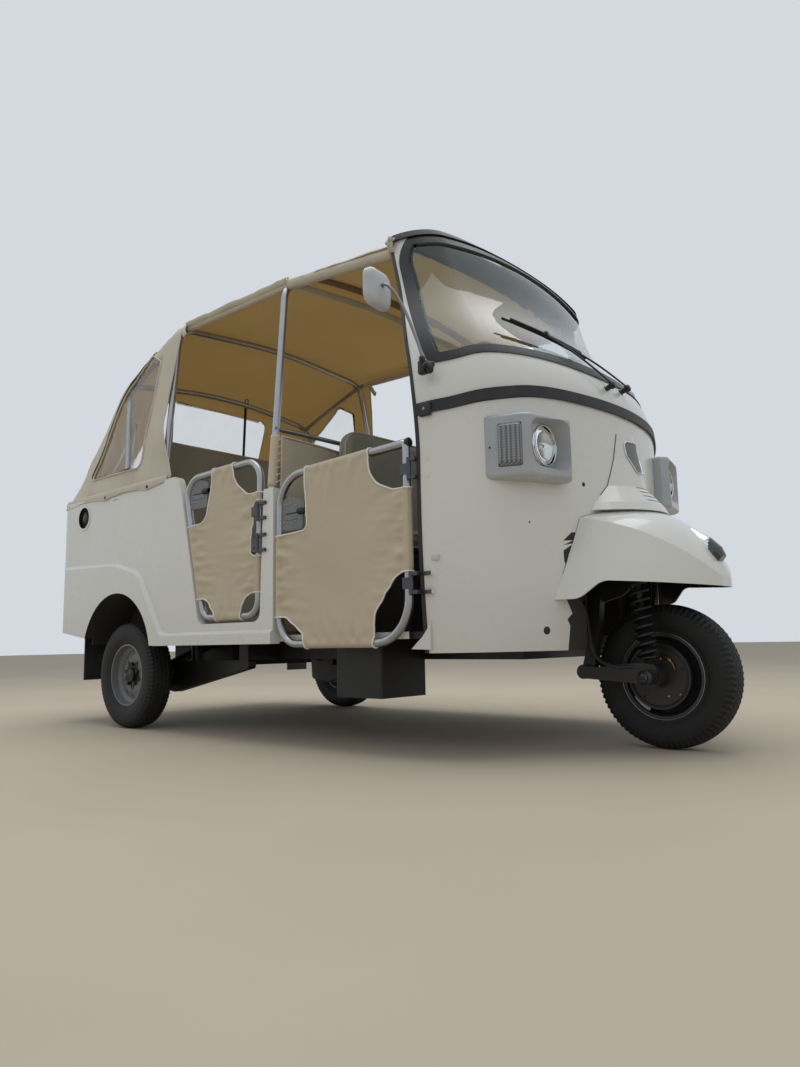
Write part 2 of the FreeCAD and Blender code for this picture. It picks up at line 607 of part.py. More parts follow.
def chassis_rails():
    """Two long box rails and the cross members that join them under the floor."""
    beam_x = WELL_REAR_X - WELL_T - FIT
    pieces = [rail(side, RAIL_REAR_X, beam_x, RAIL_LOW_Z, RAIL_TOP_Z) for side in (-1, 1)]
    for x, half in ((ARM_PIVOT_X, ARM_OUTER_Y + 2), (1180.0, RAIL_Y + 27), (beam_x - BEAM_L, RAIL_Y + 27)):
        pieces.append(box(x, x + 60, -half, half, RAIL_LOW_Z, RAIL_TOP_Z))
    return fused(pieces).cut(rod(V(LASHING_X, -400, LASHING_Z), V(LASHING_X, 400, LASHING_Z), LASHING_R))


def rear_subframe():
    """The raised frame over the engine, with uprights down to the rails."""
    pieces = [box(-560, -500, -RAIL_Y - 27, RAIL_Y + 27, DECK_UNDER_Z - 60, DECK_UNDER_Z)]
    for side in (-1, 1):
        pieces.append(rail(side, -560, RISER_X, DECK_UNDER_Z - 60, DECK_UNDER_Z))
        pieces.append(rail(side, RAIL_REAR_X - 30, RAIL_REAR_X, RAIL_LOW_Z, DECK_UNDER_Z))
    return fused(pieces)


def steering_head():
    """The upright beam and the tube that the steering stem turns in."""
    beam_x = WELL_REAR_X - WELL_T - FIT
    low, high = WELL_TOP_Z + WELL_T + 14, WELL_TOP_Z + 190
    head = rod(steer_point(low), steer_point(high), HEAD_TUBE_R)
    beam = box(beam_x - BEAM_L, beam_x, -BEAM_HALF, BEAM_HALF, RAIL_TOP_Z, BEAM_TOP_Z)
    web = box(beam_x - BEAM_L, steer_point(BEAM_TOP_Z).x, -12, 12, WELL_TOP_Z + WELL_T + 20, BEAM_TOP_Z - 10)
    return fused([beam, head, web]).cut(rod(steer_point(low - 60), steer_point(high + 60), STEM_R + FIT))


def engine_block():
    return box(-330, 170, -250, 250, 262, 600)


HUB_Y = 575.0


def rear_suspension():
    arm = plate_xz(((-70.0, 290.0), (-60.0, 165.0), (70.0, 150.0), (620.0, 262.0), (620.0, 295.7), (560.0, 295.7), (80.0, 292.0)),
                   (20, 20, 40, 12, 8, 12, 30), -ARM_OUTER_Y, -ARM_OUTER_Y + 40)
    hub = rod(V(0, -HUB_Y, TYRE_R), V(0, -460, TYRE_R), 62)
    shaft = rod(V(0, -480, TYRE_R + 40), V(0, -250 - FIT, TYRE_R + 130), 20)
    disc_y = TRACK / 2 - TYRE_W * 0.01 - FIT
    drum = rod(V(0, -disc_y + 22, TYRE_R), V(0, -HUB_Y, TYRE_R), 94).fuse(rod(V(0, -disc_y, TYRE_R), V(0, -HUB_Y, TYRE_R), 30))
    damper_foot, damper_top = V(150, -430, 262), V(110, -430, 636)
    damper = rod(damper_foot, damper_top, 26)
    lug = rod(V(150, -470, 262), V(150, -404, 262), 20)
    half = fused([arm, hub, drum, shaft, damper, lug]).cut(box(-330 - FIT, 170 + FIT, -250 - FIT, 250 + FIT, 262, 600))
    return both_sides(half)


# Wheels: revolved about Y at the origin, columns are radius, y
def tyre_profile():
    w, r, bead = TYRE_W / 2, TYRE_R, TYRE_BEAD_R
    return [(bead, -w * 0.78), (bead + 24, -w * 0.95), (bead + 52, -w), (r - 20, -w * 0.93), (r - 5, -w * 0.74), (r, -w * 0.4),
            (r, w * 0.4), (r - 5, w * 0.74), (r - 20, w * 0.93), (bead + 52, w), (bead + 24, w * 0.95), (bead, w * 0.78)]


def rim_profile():
    w, bead = TYRE_W / 2, TYRE_BEAD_R - FIT
    return [(bead, -w * 0.78), (bead, w * 0.78), (bead - 8, w * 0.78), (bead - 14, w * 0.3), (bead - 30, w * 0.1),
            (bead - 60, w * 0.22), (30, w * 0.22), (30, -w * 0.02), (bead - 62, -w * 0.02), (bead - 36, -w * 0.2),
            (bead - 22, -w * 0.3), (bead - 8, -w * 0.78)]


def wheel(place, outward):
    """A tyre and a pressed steel rim; outward is the side that the rim's nuts face."""
    tyre = turned(tyre_profile(), 0)
    rim = turned(rim_profile(), 0)
    face_y = TYRE_W / 2 * 0.22
    for i in range(5):
        a = math.radians(90 + 72 * i)
        nut = rod(V(48 * math.cos(a), face_y, 48 * math.sin(a)), V(48 * math.cos(a), face_y + 12, 48 * math.sin(a)), 8)
        rim = rim.fuse(nut)
    cap = rod(V(0, -TYRE_W / 2 * 0.02, 0), V(0, face_y + 16, 0), 30.5)
    rim = rim.fuse(cap)
    shapes = []
    for shape in (tyre, rim):
        if outward < 0:
            shape = mirrored(shape)
        shape.translate(place)
        shapes.append(shape)
    return shapes


# Front suspension, all of it turns with the steering
AXLE = V(WHEELBASE, 0, TYRE_R)
LINK_PIVOT = V(1990.0, FORK_Y, 250.0)
SPRING_LOW = V(2224.0, FORK_Y - 22, 272.5)
SPRING_HIGH = V(2190.0, FORK_Y - 22, 580.0)


def steering_column():
    stem = rod(steer_point(540), steer_point(985), STEM_R)
    top = steer_point(558)
    crown = box(top.x - 34, top.x + 66, FORK_Y - 24, 34, 536, 572)
    arm = plate_xz(((LINK_PIVOT.x - 22, 232.0), (LINK_PIVOT.x + 26, 228.0), (LINK_PIVOT.x + 56, 380.0), (top.x + 62, 572.0),
                    (top.x + 8, 572.0), (LINK_PIVOT.x + 14, 350.0)),
                   (14, 14, 120, 8, 8, 120), FORK_Y - 14, FORK_Y + 18)
    bracket = plate_xz(((top.x, 560.0), (top.x + 10, 470.0), (2120.0, 500.0), (2245.0, 588.0), (2215.0, 604.0), (top.x, 604.0)),
                       (8, 20, 40, 10, 10, 8), FORK_Y + 18, FORK_Y + 30)
    seat = rod(SPRING_HIGH + V(0, -20, 10), SPRING_HIGH + V(0, 46, 10), 11)
    boss = rod(LINK_PIVOT + V(0, -32, 0), LINK_PIVOT + V(0, 18, 0), 24)
    return fused([stem, crown, arm, bracket, seat, boss])


def handlebar():
    centre = steer_point(985)
    clamp = rod(steer_point(985 + FIT), steer_point(1022), 30)
    c = steer_point(1008)
    route = [V(c.x - 96, -355, c.z + 26), V(c.x - 70, -200, c.z + 26), V(c.x, -60, c.z), V(c.x, 60, c.z),
             V(c.x - 70, 200, c.z + 26), V(c.x - 96, 355, c.z + 26)]
    bar = tube(route, 11, 40)
    grips = [rod(route[0] + (route[1] - route[0]) * s, route[0] + (route[1] - route[0]) * (s + 0.78), 17) for s in (-0.02,)]
    grips += [mirrored(g) for g in grips]
    pod = rod(V(c.x + 10, 0, c.z + 4), V(c.x - 20, 0, c.z + 62), 46)
    return fused([clamp, bar, pod] + grips)


def swing_arm():
    """The leading link with the stub axle, its nut and the brake's backing plate."""
    y0 = FORK_Y - 14 - FIT
    link = plate_xz(((LINK_PIVOT.x - 22, LINK_PIVOT.z - 20), (AXLE.x + 24, AXLE.z - 24), (AXLE.x + 30, AXLE.z + 40), (AXLE.x - 30, AXLE.z + 46),
                     (LINK_PIVOT.x + 60, LINK_PIVOT.z + 16), (LINK_PIVOT.x - 22, LINK_PIVOT.z + 20)), (16, 20, 16, 16, 30, 16), y0 - 18, y0)
    link = link.cut(rod(LINK_PIVOT + V(0, -60, 0), LINK_PIVOT + V(0, 60, 0), 24 + FIT))
    disc_y = TYRE_W * 0.01 + FIT
    axle = rod(V(AXLE.x, y0 - 40, AXLE.z), V(AXLE.x, -disc_y, AXLE.z), 14)
    drum = rod(V(AXLE.x, -60, AXLE.z), V(AXLE.x, -disc_y - 22, AXLE.z), 94)
    nut = rod(V(AXLE.x, y0 - 34, AXLE.z), V(AXLE.x, y0 - 18, AXLE.z), 22)
    plate = rod(V(AXLE.x, -72, AXLE.z), V(AXLE.x, -60, AXLE.z), 106)
    neck = rod(V(AXLE.x, y0, AXLE.z), V(AXLE.x, -72, AXLE.z), 34)
    return fused([link, axle, nut, plate, neck, drum])


def front_spring():
    """Damper with its coil, drawn as one ribbed body of revolution."""
    length = (SPRING_HIGH - SPRING_LOW).Length
    turns, r_out, r_in = 10, 34.0, 26.0
    points = [V(0, 0, 10), V(16, 0, 10), V(16, 0, 24), V(r_out, 0, 24)]
    pitch = (length - 24 - 14) / turns
    for i in range(turns):
        z = 24 + pitch * i
        points += [V(r_out, 0, z + pitch * 0.45), V(r_in, 0, z + pitch * 0.6), V(r_in, 0, z + pitch * 0.85), V(r_out, 0, z + pitch)]
    points += [V(r_out, 0, length - 14 + 4), V(0, 0, length - 10)]
    body = Part.Face(Part.makePolygon(points + points[:1])).revolve(V(0, 0, 0), V(0, 0, 1), 360)
    body.Placement = FreeCAD.Placement(SPRING_LOW, FreeCAD.Rotation(V(0, 0, 1), SPRING_HIGH - SPRING_LOW))
    seat = rod(SPRING_HIGH + V(0, -60, 10), SPRING_HIGH + V(0, 60, 10), 11 + FIT)
    return body.cut(seat)


# Doors: a bent tube with a canvas panel on its outside
DOOR_Y = -BODY_HALF + 10.0
CANVAS_T = 4.0
DRIVER_DOOR = ((1100.0, 360.0), (1724.0, 360.0), (1724.0, 988.0), (1100.0, 968.0))
DRIVER_DOOR_RADII = (95, 140, 16, 120)
REAR_DOOR = ((625.0, 470.0), (975.0, 470.0), (986.0, 1060.0), (478.0, 1050.0))
REAR_DOOR_RADII = (60, 60, 80, 80)
HINGE_R = 8.0
DRIVER_HINGE = (1743.0, DOOR_Y - 12.0)
DRIVER_HINGE_ZS = (540.0, 900.0)
REAR_HINGE = (996.0, DOOR_Y - 23.0)
REAR_HINGE_ZS = (735.0, 855.0)
KNUCKLE_H = 22.0


def door_frame(outline, radii, hinge, hinge_zs, latch, reach):
    loop = loop_tube([V(x, DOOR_Y, z) for x, z in outline], radii, TUBE_R)
    pieces = [loop]
    hinge_x, hinge_y = hinge
    for z in hinge_zs:
        pieces.append(rod(V(hinge_x, hinge_y, z - KNUCKLE_H), V(hinge_x, hinge_y, z + KNUCKLE_H), HINGE_R))
        pieces.append(box(hinge_x - 34, hinge_x, hinge_y - 3, hinge_y + 3, z - 18, z + 18))
        pieces.append(box(hinge_x - 34, hinge_x - 18, hinge_y - 3, DOOR_Y, z - 18, z + 18))
    lx, lz = latch
    plate = plate_xz(((lx, lz - 62), (lx + reach + 4, lz - 62), (lx + reach + 16, lz + 40), (lx + 40, lz + 66), (lx + 4, lz + 50)), (8, 12, 16, 12, 8),
                     DOOR_Y - 2, DOOR_Y + 2)
    knob = rod(V(lx + reach, DOOR_Y - 14, lz), V(lx + reach + 36, DOOR_Y - 14, lz), 11)
    peg = rod(V(lx + reach + 6, DOOR_Y, lz), V(lx + reach + 6, DOOR_Y - 14, lz), 5)
    return fused(pieces + [plate, knob, peg])


def canvas(outline, radii, cut_outs):
    """The canvas that is stretched over the tube, cut back at the corners."""
    y1 = DOOR_Y - TUBE_R - FIT
    sheet = plate_xz(outline, radii, y1 - CANVAS_T, y1)
    for points, corner_radii in cut_outs:
        sheet = sheet.cut(plate_xz(points, corner_radii, y1 - 50, y1 + 50))
    return sheet


def driver_door():
    frame = door_frame(DRIVER_DOOR, DRIVER_DOOR_RADII, DRIVER_HINGE, DRIVER_HINGE_ZS, (1110.0, 828.0), 110)
    (x0, z0), (x1, _), (_, z1), _ = DRIVER_DOOR
    edge = [(x0 - TUBE_R, z0 - TUBE_R), (x1 + TUBE_R, z0 - TUBE_R), (x1 + TUBE_R, z1 + TUBE_R), (x0 - TUBE_R, z1 - 20 + TUBE_R)]
    cuts = [
        ([(x0 - 60, 745.0), (x0 + 164, 758.0), (x0 + 152, 1100.0), (x0 - 60, 1100.0)], (0, 26, 0, 0)),
        ([(x1 - 160, 1100.0), (x1 - 150, 885.0), (x1 - 50, 842.0), (x1 + 60, 842.0), (x1 + 60, 1100.0)], (0, 90, 40, 0, 0)),
        ([(x0 - 60, 456.0), (x0 + 50, 456.0), (x0 + 148, 390.0), (x0 + 148, 300.0), (x0 - 60, 300.0)], (0, 40, 40, 0, 0)),
        ([(x1 + 60, 578.0), (x1 - 30, 578.0), (x1 - 135, 455.0), (x1 - 148, 300.0), (x1 + 60, 300.0)], (0, 60, 90, 0, 0)),
    ]
    return frame, canvas(edge, (100, 120, 16, 100), cuts)


def passenger_door():
    frame = door_frame(REAR_DOOR, REAR_DOOR_RADII, REAR_HINGE, REAR_HINGE_ZS, (514.0, 981.0), 118)
    edge = [(610.0, 456.0), (989.0, 456.0), (1001.0, 1074.0), (464.0, 1064.0)]
    cuts = [
        ([(400.0, 840.0), (650.0, 850.0), (690.0, 1010.0), (690.0, 1200.0), (400.0, 1200.0)], (0, 60, 90, 0, 0)),
        ([(820.0, 1200.0), (840.0, 990.0), (920.0, 930.0), (1100.0, 930.0), (1100.0, 1200.0)], (0, 70, 50, 0, 0)),
        ([(500.0, 544.0), (660.0, 544.0), (720.0, 479.0), (720.0, 300.0), (500.0, 300.0)], (0, 50, 50, 0, 0)),
        ([(1100.0, 554.0), (930.0, 554.0), (880.0, 489.0), (880.0, 300.0), (1100.0, 300.0)], (0, 50, 50, 0, 0)),
        ([(954.0, 690.0), (1100.0, 690.0), (1100.0, 900.0), (954.0, 900.0)], (16, 0, 0, 16)),
    ]
    return frame, canvas(edge, (60, 60, 60, 60), cuts)


# Canopy. Columns: x, half width at the tub rim, half width under the roof corners, side height, height at the middle
RIM_Z = TUB_TOP_Z + 5.0
RIM_HALF = BODY_HALF - 5.0
CANOPY_SECTIONS = ((TUB_REAR_X + 12.0, RIM_HALF - 68.0, 645.0, 1145.0, 1158.0), (-600.0, RIM_HALF - 8.0, 638.0, 1238.0, 1266.0),
                   (-265.0, RIM_HALF, 606.0, 1690.0, 1768.0), (200.0, RIM_HALF, 616.0, 1858.0, 1908.0),
                   (975.0, RIM_HALF, 618.0, 1838.0, 1890.0), (1575.0, RIM_HALF, 590.0, 1795.0, 1858.0))
CANOPY_T = 4.0
CANOPY_CORNER_R = 90.0
ROOF_EDGE_DROP = 26.0
HOOP_FOOT_X = 267.0
# front edge of the canvas beside the passengers, from the tub's rim up: x, z
QUARTER_EDGE = ((352.0, 1089.0), (222.0, 1350.0), (262.0, 1830.0))
REAR_HOOP_FOOT_X = -60.0


def canopy_loft(inset, low_z):
    wires = []
    for x, foot, shoulder, side_z, top_z in CANOPY_SECTIONS:
        foot_point, shoulder_point = V(x, -(foot - inset), low_z), V(x, -(shoulder - inset), side_z - inset)
        middle = V(x, 0, top_z - inset)
        low, bend, high = corner(foot_point, shoulder_point, middle, CANOPY_CORNER_R - inset)
        right = [Part.makeLine(foot_point, low), Part.Arc(low, bend, high).toShape()]
        over_y = lambda p: V(p.x, -p.y, p.z)
        left = [Part.Arc(over_y(high), over_y(bend), over_y(low)).toShape(), Part.makeLine(over_y(low), over_y(foot_point))]
        crown = Part.Arc(high, middle, over_y(high)).toShape()
        wires.append(Part.Wire(right + [crown] + left + [Part.makeLine(over_y(foot_point), foot_point)]))
    return Part.makeLoft(wires, True, True)


def window_prisms():
    rear = plate_yz(((-420.0, 1285.0), (420.0, 1285.0), (330.0, 1670.0), (-330.0, 1670.0)), [60] * 4, -800, -180)
    quarter = plate_xz(((-400.0, 1186.0), (84.0, 1176.0), (76.0, 1310.0), (118.0, 1690.0), (12.0, 1750.0), (-235.0, 1590.0)),
                       (20, 30, 150, 30, 30, 120), -800, 800)
    return rear, quarter


def canopy_parts():
    outer = canopy_loft(0, RIM_Z - 40)
    rear_x, front_x = CANOPY_SECTIONS[0][0], CANOPY_SECTIONS[-1][0]
    inner = canopy_loft(CANOPY_T, RIM_Z - 60).cut(box(rear_x - 20, rear_x + CANOPY_T, -800, 800, 0, 3000))
    skin = outer.cut(inner).cut(box(front_x - 1, front_x + 1, -800, 800, 0, 3000))
    drops = [(x, side_z - ROOF_EDGE_DROP) for x, _, _, side_z, _ in reversed(CANOPY_SECTIONS[3:])]
    gap = [(QUARTER_EDGE[0][0], 900.0), (1700.0, 900.0), (1700.0, 1770.0)] + drops[:2] + list(QUARTER_EDGE[::-1])
    side_gap = plate_xz(gap, [0] * 6 + [120, 0], -900, 900)
    skin = skin.cut(side_gap).cut(box(-800, 1700, -900, 900, 0, RIM_Z + FIT))
    skin = skin.cut(ahead_of_edge(-EDGE_SEAL_W - FIT))
    rear, quarter = window_prisms()
    film = canopy_loft(1, RIM_Z - 60).cut(canopy_loft(3, RIM_Z - 70))
    panes = [film.common(rear), film.common(quarter)]
    solids = [s for p in panes for s in p.Solids if s.Volume > 1000]
    return skin.cut(rear).cut(quarter), Part.makeCompound(solids)


def hoop(foot, shoulder, mid_z, radius=TUBE_R):
    """A bent tube across the vehicle, from one foot point over the roof to the other."""
    route = [foot, shoulder, V(shoulder.x, 0, mid_z), V(shoulder.x, -shoulder.y, shoulder.z), V(foot.x, -foot.y, foot.z)]
    wire = path(route, [0, 95, 2600, 95, 0])
    ring = Part.Wire(Part.makeCircle(radius, foot, shoulder - foot))
    return wire.makePipeShell([ring], True, False)


def canopy_frame():
    gap = CANOPY_T + TUBE_R + 3
    sections = {x: (shoulder - gap, side_z - gap, top_z - gap) for x, _, shoulder, side_z, top_z in CANOPY_SECTIONS}
    front_y, front_z, front_top = sections[975.0]
    main_x, rear_x = CANOPY_SECTIONS[3][0], CANOPY_SECTIONS[2][0]
    main_y, main_z, main_top = sections[main_x]
    rear_y, rear_z, rear_top = sections[rear_x]
    front = hoop(V(1047, 13 - BODY_HALF, POST_TOP_Z - 12), V(975, -front_y, front_z), front_top)
    main = hoop(V(HOOP_FOOT_X, 31 - BODY_HALF, RIM_Z - 12), V(main_x + 6, -main_y, main_z), main_top)
    rear_foot, rear_shoulder = V(REAR_HOOP_FOOT_X, 41 - BODY_HALF, RIM_Z - 12), V(rear_x + 10, -rear_y, rear_z)
    rear = hoop(rear_foot, rear_shoulder, rear_top)
    rear_bend = corner(rear_foot, rear_shoulder, V(rear_shoulder.x, 0, rear_top), 95)[1]
    rail_y = 585.0
    rails = [rod(V(1562, -rail_y + 26, 1752), V(975, -rail_y, front_z - 12), 11),
             rod(V(975, -rail_y, front_z - 12), V(main_x + 6, -rail_y, main_z - 12), 11),
             rod(V(main_x + 6, -rail_y, main_z - 12), rear_bend, 11)]
    end_y = BODY_HALF - 35
    grab = tube([V(1030, -end_y, 1176), V(1044, -560, 1172), V(1050, 0, 1168), V(1044, 560, 1172), V(1030, end_y, 1176)], 9, 120)
    rails += [mirrored(r) for r in rails]
    frame = fused([front, main, rear, grab] + rails).cut(ahead_of_edge(-EDGE_SEAL_W - FIT))
    return frame.cut(box(900, 1200, -800, 800, 800, POST_TOP_Z + FIT)).cut(box(-400, 600, -800, 800, 900, RIM_Z + FIT))


PARTITION_X = 1061.5


def partition():
    """Canvas screen behind the driver, laced between the posts."""
    low = FLOOR_TOP_Z + FIT
    half = BODY_HALF - 35
    outline = ((-half, low), (half, low), (half, 930.0), (half - 8, 1142.0), (0.0, 1112.0), (8 - half, 1142.0), (-half, 930.0))
    return plate_yz(outline, (0, 0, 0, 0, 900, 0, 0), PARTITION_X, PARTITION_X + 4)


def seat(x_back, x_front, half, z_low, z_top, back_top, lean):
    """A bench cushion and its upright back, as two simple closed forms."""
    cushion = box(x_back + 70, x_front, -half, half, z_low + FIT, z_top)
    cushion = cushion.makeFillet(30, [e for e in cushion.Edges if e.BoundBox.ZMin > z_top - 1 or e.BoundBox.XMin > x_front - 1])
    back = plate_xz(((x_back, z_low + FIT), (x_back + 68, z_low + FIT), (x_back + 68 - lean, back_top), (x_back - lean, back_top)),
                    (0, 0, 26, 26), -half, half)
    return Part.makeCompound([cushion, back])


def tail_lamps():
    lamp = box(TUB_REAR_X - 16, TUB_REAR_X - FIT, -560, -480, 640, 800)
    lamp = lamp.makeFillet(10, [e for e in lamp.Edges if e.BoundBox.XLength > 10])
    return both_sides(lamp)


def mud_flaps():
    flap = box(-400, -392, -BODY_HALF + TUB_WALL + FIT, -560, 205, 470)
    return both_sides(flap)


def battery_box():
    """A closed box hung under the floor outside the right rail."""
    body = box(1222, 1450, -566, -RAIL_Y - RAIL_HALF - FIT, 168, RAIL_TOP_Z)
    lip = box(1216, 1456, -572, -RAIL_Y - RAIL_HALF - FIT, RAIL_TOP_Z - 22, RAIL_TOP_Z)
    return body.makeFillet(10, [e for e in body.Edges if e.BoundBox.ZLength > 150]).fuse(lip)


def dashboard():
    return cab_solid(CAB_WALL + FIT).common(box(1925, 2300, -900, 900, 1120, 1142))


def build():
    parts = {"cab_shell": cab_shell()}
    parts["windscreen_gasket"], parts["windscreen"] = windscreen_parts()
    parts["rubber_trim"] = rubber_trim()
    parts["headlamp_housings"], parts["headlamp_lenses"] = lamp_parts()
    parts["nose_cover"] = nose_cover()
    parts["front_mudguard"] = front_mudguard()
    parts["mudguard_lamp"] = mudguard_lamp()
    parts["wiper"] = wiper(parts["windscreen_gasket"])
    parts["mirrors"] = mirrors()
    parts["side_panel_right"] = side_panel()
    parts["side_panel_left"] = mirrored(parts["side_panel_right"])
    parts["rear_panel"] = rear_panel()
    parts["rear_lid"] = rear_lid()
    parts["wheel_liners"] = wheel_liners()
    parts["floor_pan"] = floor_pan()
    parts["chassis_rails"] = chassis_rails()
    parts["rear_subframe"] = rear_subframe()
    parts["steering_head"] = steering_head()
    parts["engine"] = engine_block()
    parts["rear_suspension"] = rear_suspension()
    parts["driver_seat"] = seat(1112, 1480, 420, DRIVER_BOX[3], 770, 1208, 30)
    parts["passenger_seat"] = seat(-60, 430, 600, DECK_Z, 800, 1368, 60)
    parts["partition"] = partition()
    parts["canopy"], parts["canopy_windows"] = canopy_parts()
    parts["canopy_frame"] = canopy_frame()
    parts["tail_lamps"] = tail_lamps()
    parts["mud_flaps"] = mud_flaps()
    parts["battery_box"] = battery_box()
    parts["dashboard"] = dashboard()
    parts["steering_column"] = steering_column()
    parts["handlebar"] = handlebar()
    parts["swing_arm"] = swing_arm()
    parts["front_spring"] = front_spring()
    parts["front_tyre"], parts["front_rim"] = wheel(AXLE, 1)
    for side, sign in (("right", -1), ("left", 1)):
        place = V(0, sign * TRACK / 2, TYRE_R)
        parts["rear_tyre_" + side], parts["rear_rim_" + side] = wheel(place, sign)
    for name, make in (("driver_door", driver_door), ("passenger_door", passenger_door)):
        frame, sheet = make()
        parts[name + "_frame_right"], parts[name + "_canvas_right"] = frame, sheet
        parts[name + "_frame_left"], parts[name + "_canvas_left"] = mirrored(frame), mirrored(sheet)
    return parts


def main():
    os.makedirs("parts", exist_ok=True)
    front_end = WHEELBASE + TYRE_R
    rear_end = TUB_REAR_X - 20
    middle = (front_end + rear_end) / 2
    for name, shape in build().items():
        shape.translate(V(-middle, 0, 0))
        shape.exportStep("parts/" + name + ".step")


main()
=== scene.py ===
import math

import bmesh
import bpy
from mathutils import Matrix, Vector, noise
from mathutils.bvhtree import BVHTree
from mathutils.geometry import delaunay_2d_cdt


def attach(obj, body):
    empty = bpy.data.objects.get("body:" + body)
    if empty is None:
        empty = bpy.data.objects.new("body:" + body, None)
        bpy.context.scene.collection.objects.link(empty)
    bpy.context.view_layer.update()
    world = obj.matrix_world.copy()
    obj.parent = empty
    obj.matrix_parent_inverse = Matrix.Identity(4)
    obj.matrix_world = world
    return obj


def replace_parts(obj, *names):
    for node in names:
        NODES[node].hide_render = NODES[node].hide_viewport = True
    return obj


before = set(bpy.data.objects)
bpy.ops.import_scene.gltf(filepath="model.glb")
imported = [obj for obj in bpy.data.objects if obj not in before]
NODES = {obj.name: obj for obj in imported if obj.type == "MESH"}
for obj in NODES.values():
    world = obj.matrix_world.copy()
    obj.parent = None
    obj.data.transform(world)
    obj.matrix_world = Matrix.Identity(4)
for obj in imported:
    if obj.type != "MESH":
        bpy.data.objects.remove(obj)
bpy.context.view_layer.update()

# Lengths below are millimetres in the part's own frame: X forward from the rear axle, Y to the left, Z up
MIDDLE_X = 880.0
BODY_HALF = 735.0
DOOR_Y = -BODY_HALF + 10.0
TUBE_R = 14.0
RIM_Z = 1080.0
TUB_REAR_X = -675.0
WHEEL_X, REAR_WHEEL_Y = 2220.0, 662.5
TYRE_R, TYRE_W, TYRE_BEAD_R = 235.0, 115.0, 138.0
SIDES = (("right", 1), ("left", -1))


def at(x, y, z):
    """A point of the part's frame in Blender's metres."""
    return Vector(((x - MIDDLE_X) / 1000, y / 1000, z / 1000))


# Materials

MIX_INPUTS, MIX_RESULT = (0, 6, 7), 2


class Finish:
    """A node material on object coordinates, built step by step round one Principled shader."""

    def __init__(self, name, **values):
        self.material = bpy.data.materials.new(name)
        self.material.use_nodes = True
        self.tree = self.material.node_tree
        self.shader = self.tree.nodes["Principled BSDF"]
        self.place = self.node("ShaderNodeTexCoord").outputs["Object"]
        self.last_normal = None
        for key, value in values.items():
            self.shader.inputs[key.replace("_", " ")].default_value = value

    def node(self, kind, **values):
        made = self.tree.nodes.new(kind)
        for key, value in values.items():
            if hasattr(made, key):
                setattr(made, key, value)
            else:
                made.inputs[key.replace("_", " ")].default_value = value
        return made

    def link(self, out, into):
        self.tree.links.new(out, into)

    def noise(self, scale, detail=4.0, roughness=0.5, stretch=None):
        made = self.node("ShaderNodeTexNoise", Scale=scale, Detail=detail, Roughness=roughness)
        place = self.place
        if stretch:
            mapping = self.node("ShaderNodeMapping")
            mapping.inputs["Scale"].default_value = stretch
            self.link(place, mapping.inputs["Vector"])
            place = mapping.outputs["Vector"]
        self.link(place, made.inputs["Vector"])
        return made.outputs["Fac"]

    def wave(self, scale, direction, distortion=0.0):
        made = self.node("ShaderNodeTexWave", wave_type="BANDS", bands_direction=direction, Scale=scale,
                         Distortion=distortion)
        self.link(self.place, made.inputs["Vector"])
        return made.outputs["Fac"]

    def height(self):
        made = self.node("ShaderNodeSeparateXYZ")
        self.link(self.place, made.inputs["Vector"])
        return made.outputs["Z"]

    def ranged(self, value, low, high, to_low=0.0, to_high=1.0):
        made = self.node("ShaderNodeMapRange", From_Min=low, From_Max=high, To_Min=to_low, To_Max=to_high)
        self.link(value, made.inputs["Value"])
        return made.outputs["Result"]

    def maths(self, operation, first, second):
        made = self.node("ShaderNodeMath", operation=operation)
        for socket, value in zip(made.inputs, (first, second)):
            if isinstance(value, float):
                socket.default_value = value
            else:
                self.link(value, socket)
        return made.outputs[0]

    def mixed(self, factor, first, second):
        made = self.node("ShaderNodeMix", data_type="RGBA")
        for index, value in zip(MIX_INPUTS, (factor, first, second)):
            if isinstance(value, tuple):
                made.inputs[index].default_value = (*value, 1.0)
            else:
                self.link(value, made.inputs[index])
        return made.outputs[MIX_RESULT]

    def between(self, value, low, high, first, second):
        """From the first colour to the second as a value goes from low to high."""
        return self.mixed(self.ranged(value, low, high), first, second)

    def colour(self, out):
        self.link(out, self.shader.inputs["Base Color"])

    def rough(self, value, low, high, to_low, to_high):
        self.link(self.ranged(value, low, high, to_low, to_high), self.shader.inputs["Roughness"])

    def bump(self, height, strength, distance):
        made = self.node("ShaderNodeBump", Strength=strength, Distance=distance)
        self.link(height, made.inputs["Height"])
        if self.last_normal:
            self.link(self.last_normal, made.inputs["Normal"])
        self.last_normal = made.outputs["Normal"]
        self.link(self.last_normal, self.shader.inputs["Normal"])


def shaded(colour, factor):
    return tuple(min(1.0, c * factor) for c in colour)


def painted(name, colour, roughness=0.28, coat=0.5, dust=(0.36, 0.31, 0.24), dust_height=0.62):
    """Sprayed paint: slight cloudiness, orange peel, and road dust that grows towards the ground."""
    made = Finish(name, Coat_Weight=coat, Coat_Roughness=0.08)
    base = made.between(made.noise(3.0, 3.0), 0.2, 0.8, colour, shaded(colour, 0.98))
    low = made.ranged(made.height(), dust_height, 0.16, 0.0, 0.34)
    spots = made.ranged(made.noise(6.0, 2.0), 0.3, 0.8)
    amount = made.maths("MULTIPLY", low, made.maths("ADD", made.maths("MULTIPLY", spots, 0.3), 0.4))
    made.colour(made.mixed(amount, base, dust))
    made.rough(made.noise(5.0, 5.0), 0.3, 0.7, roughness - 0.05, roughness + 0.08)
    made.bump(made.noise(300.0, 2.0), 0.03, 0.0005)
    return made.material


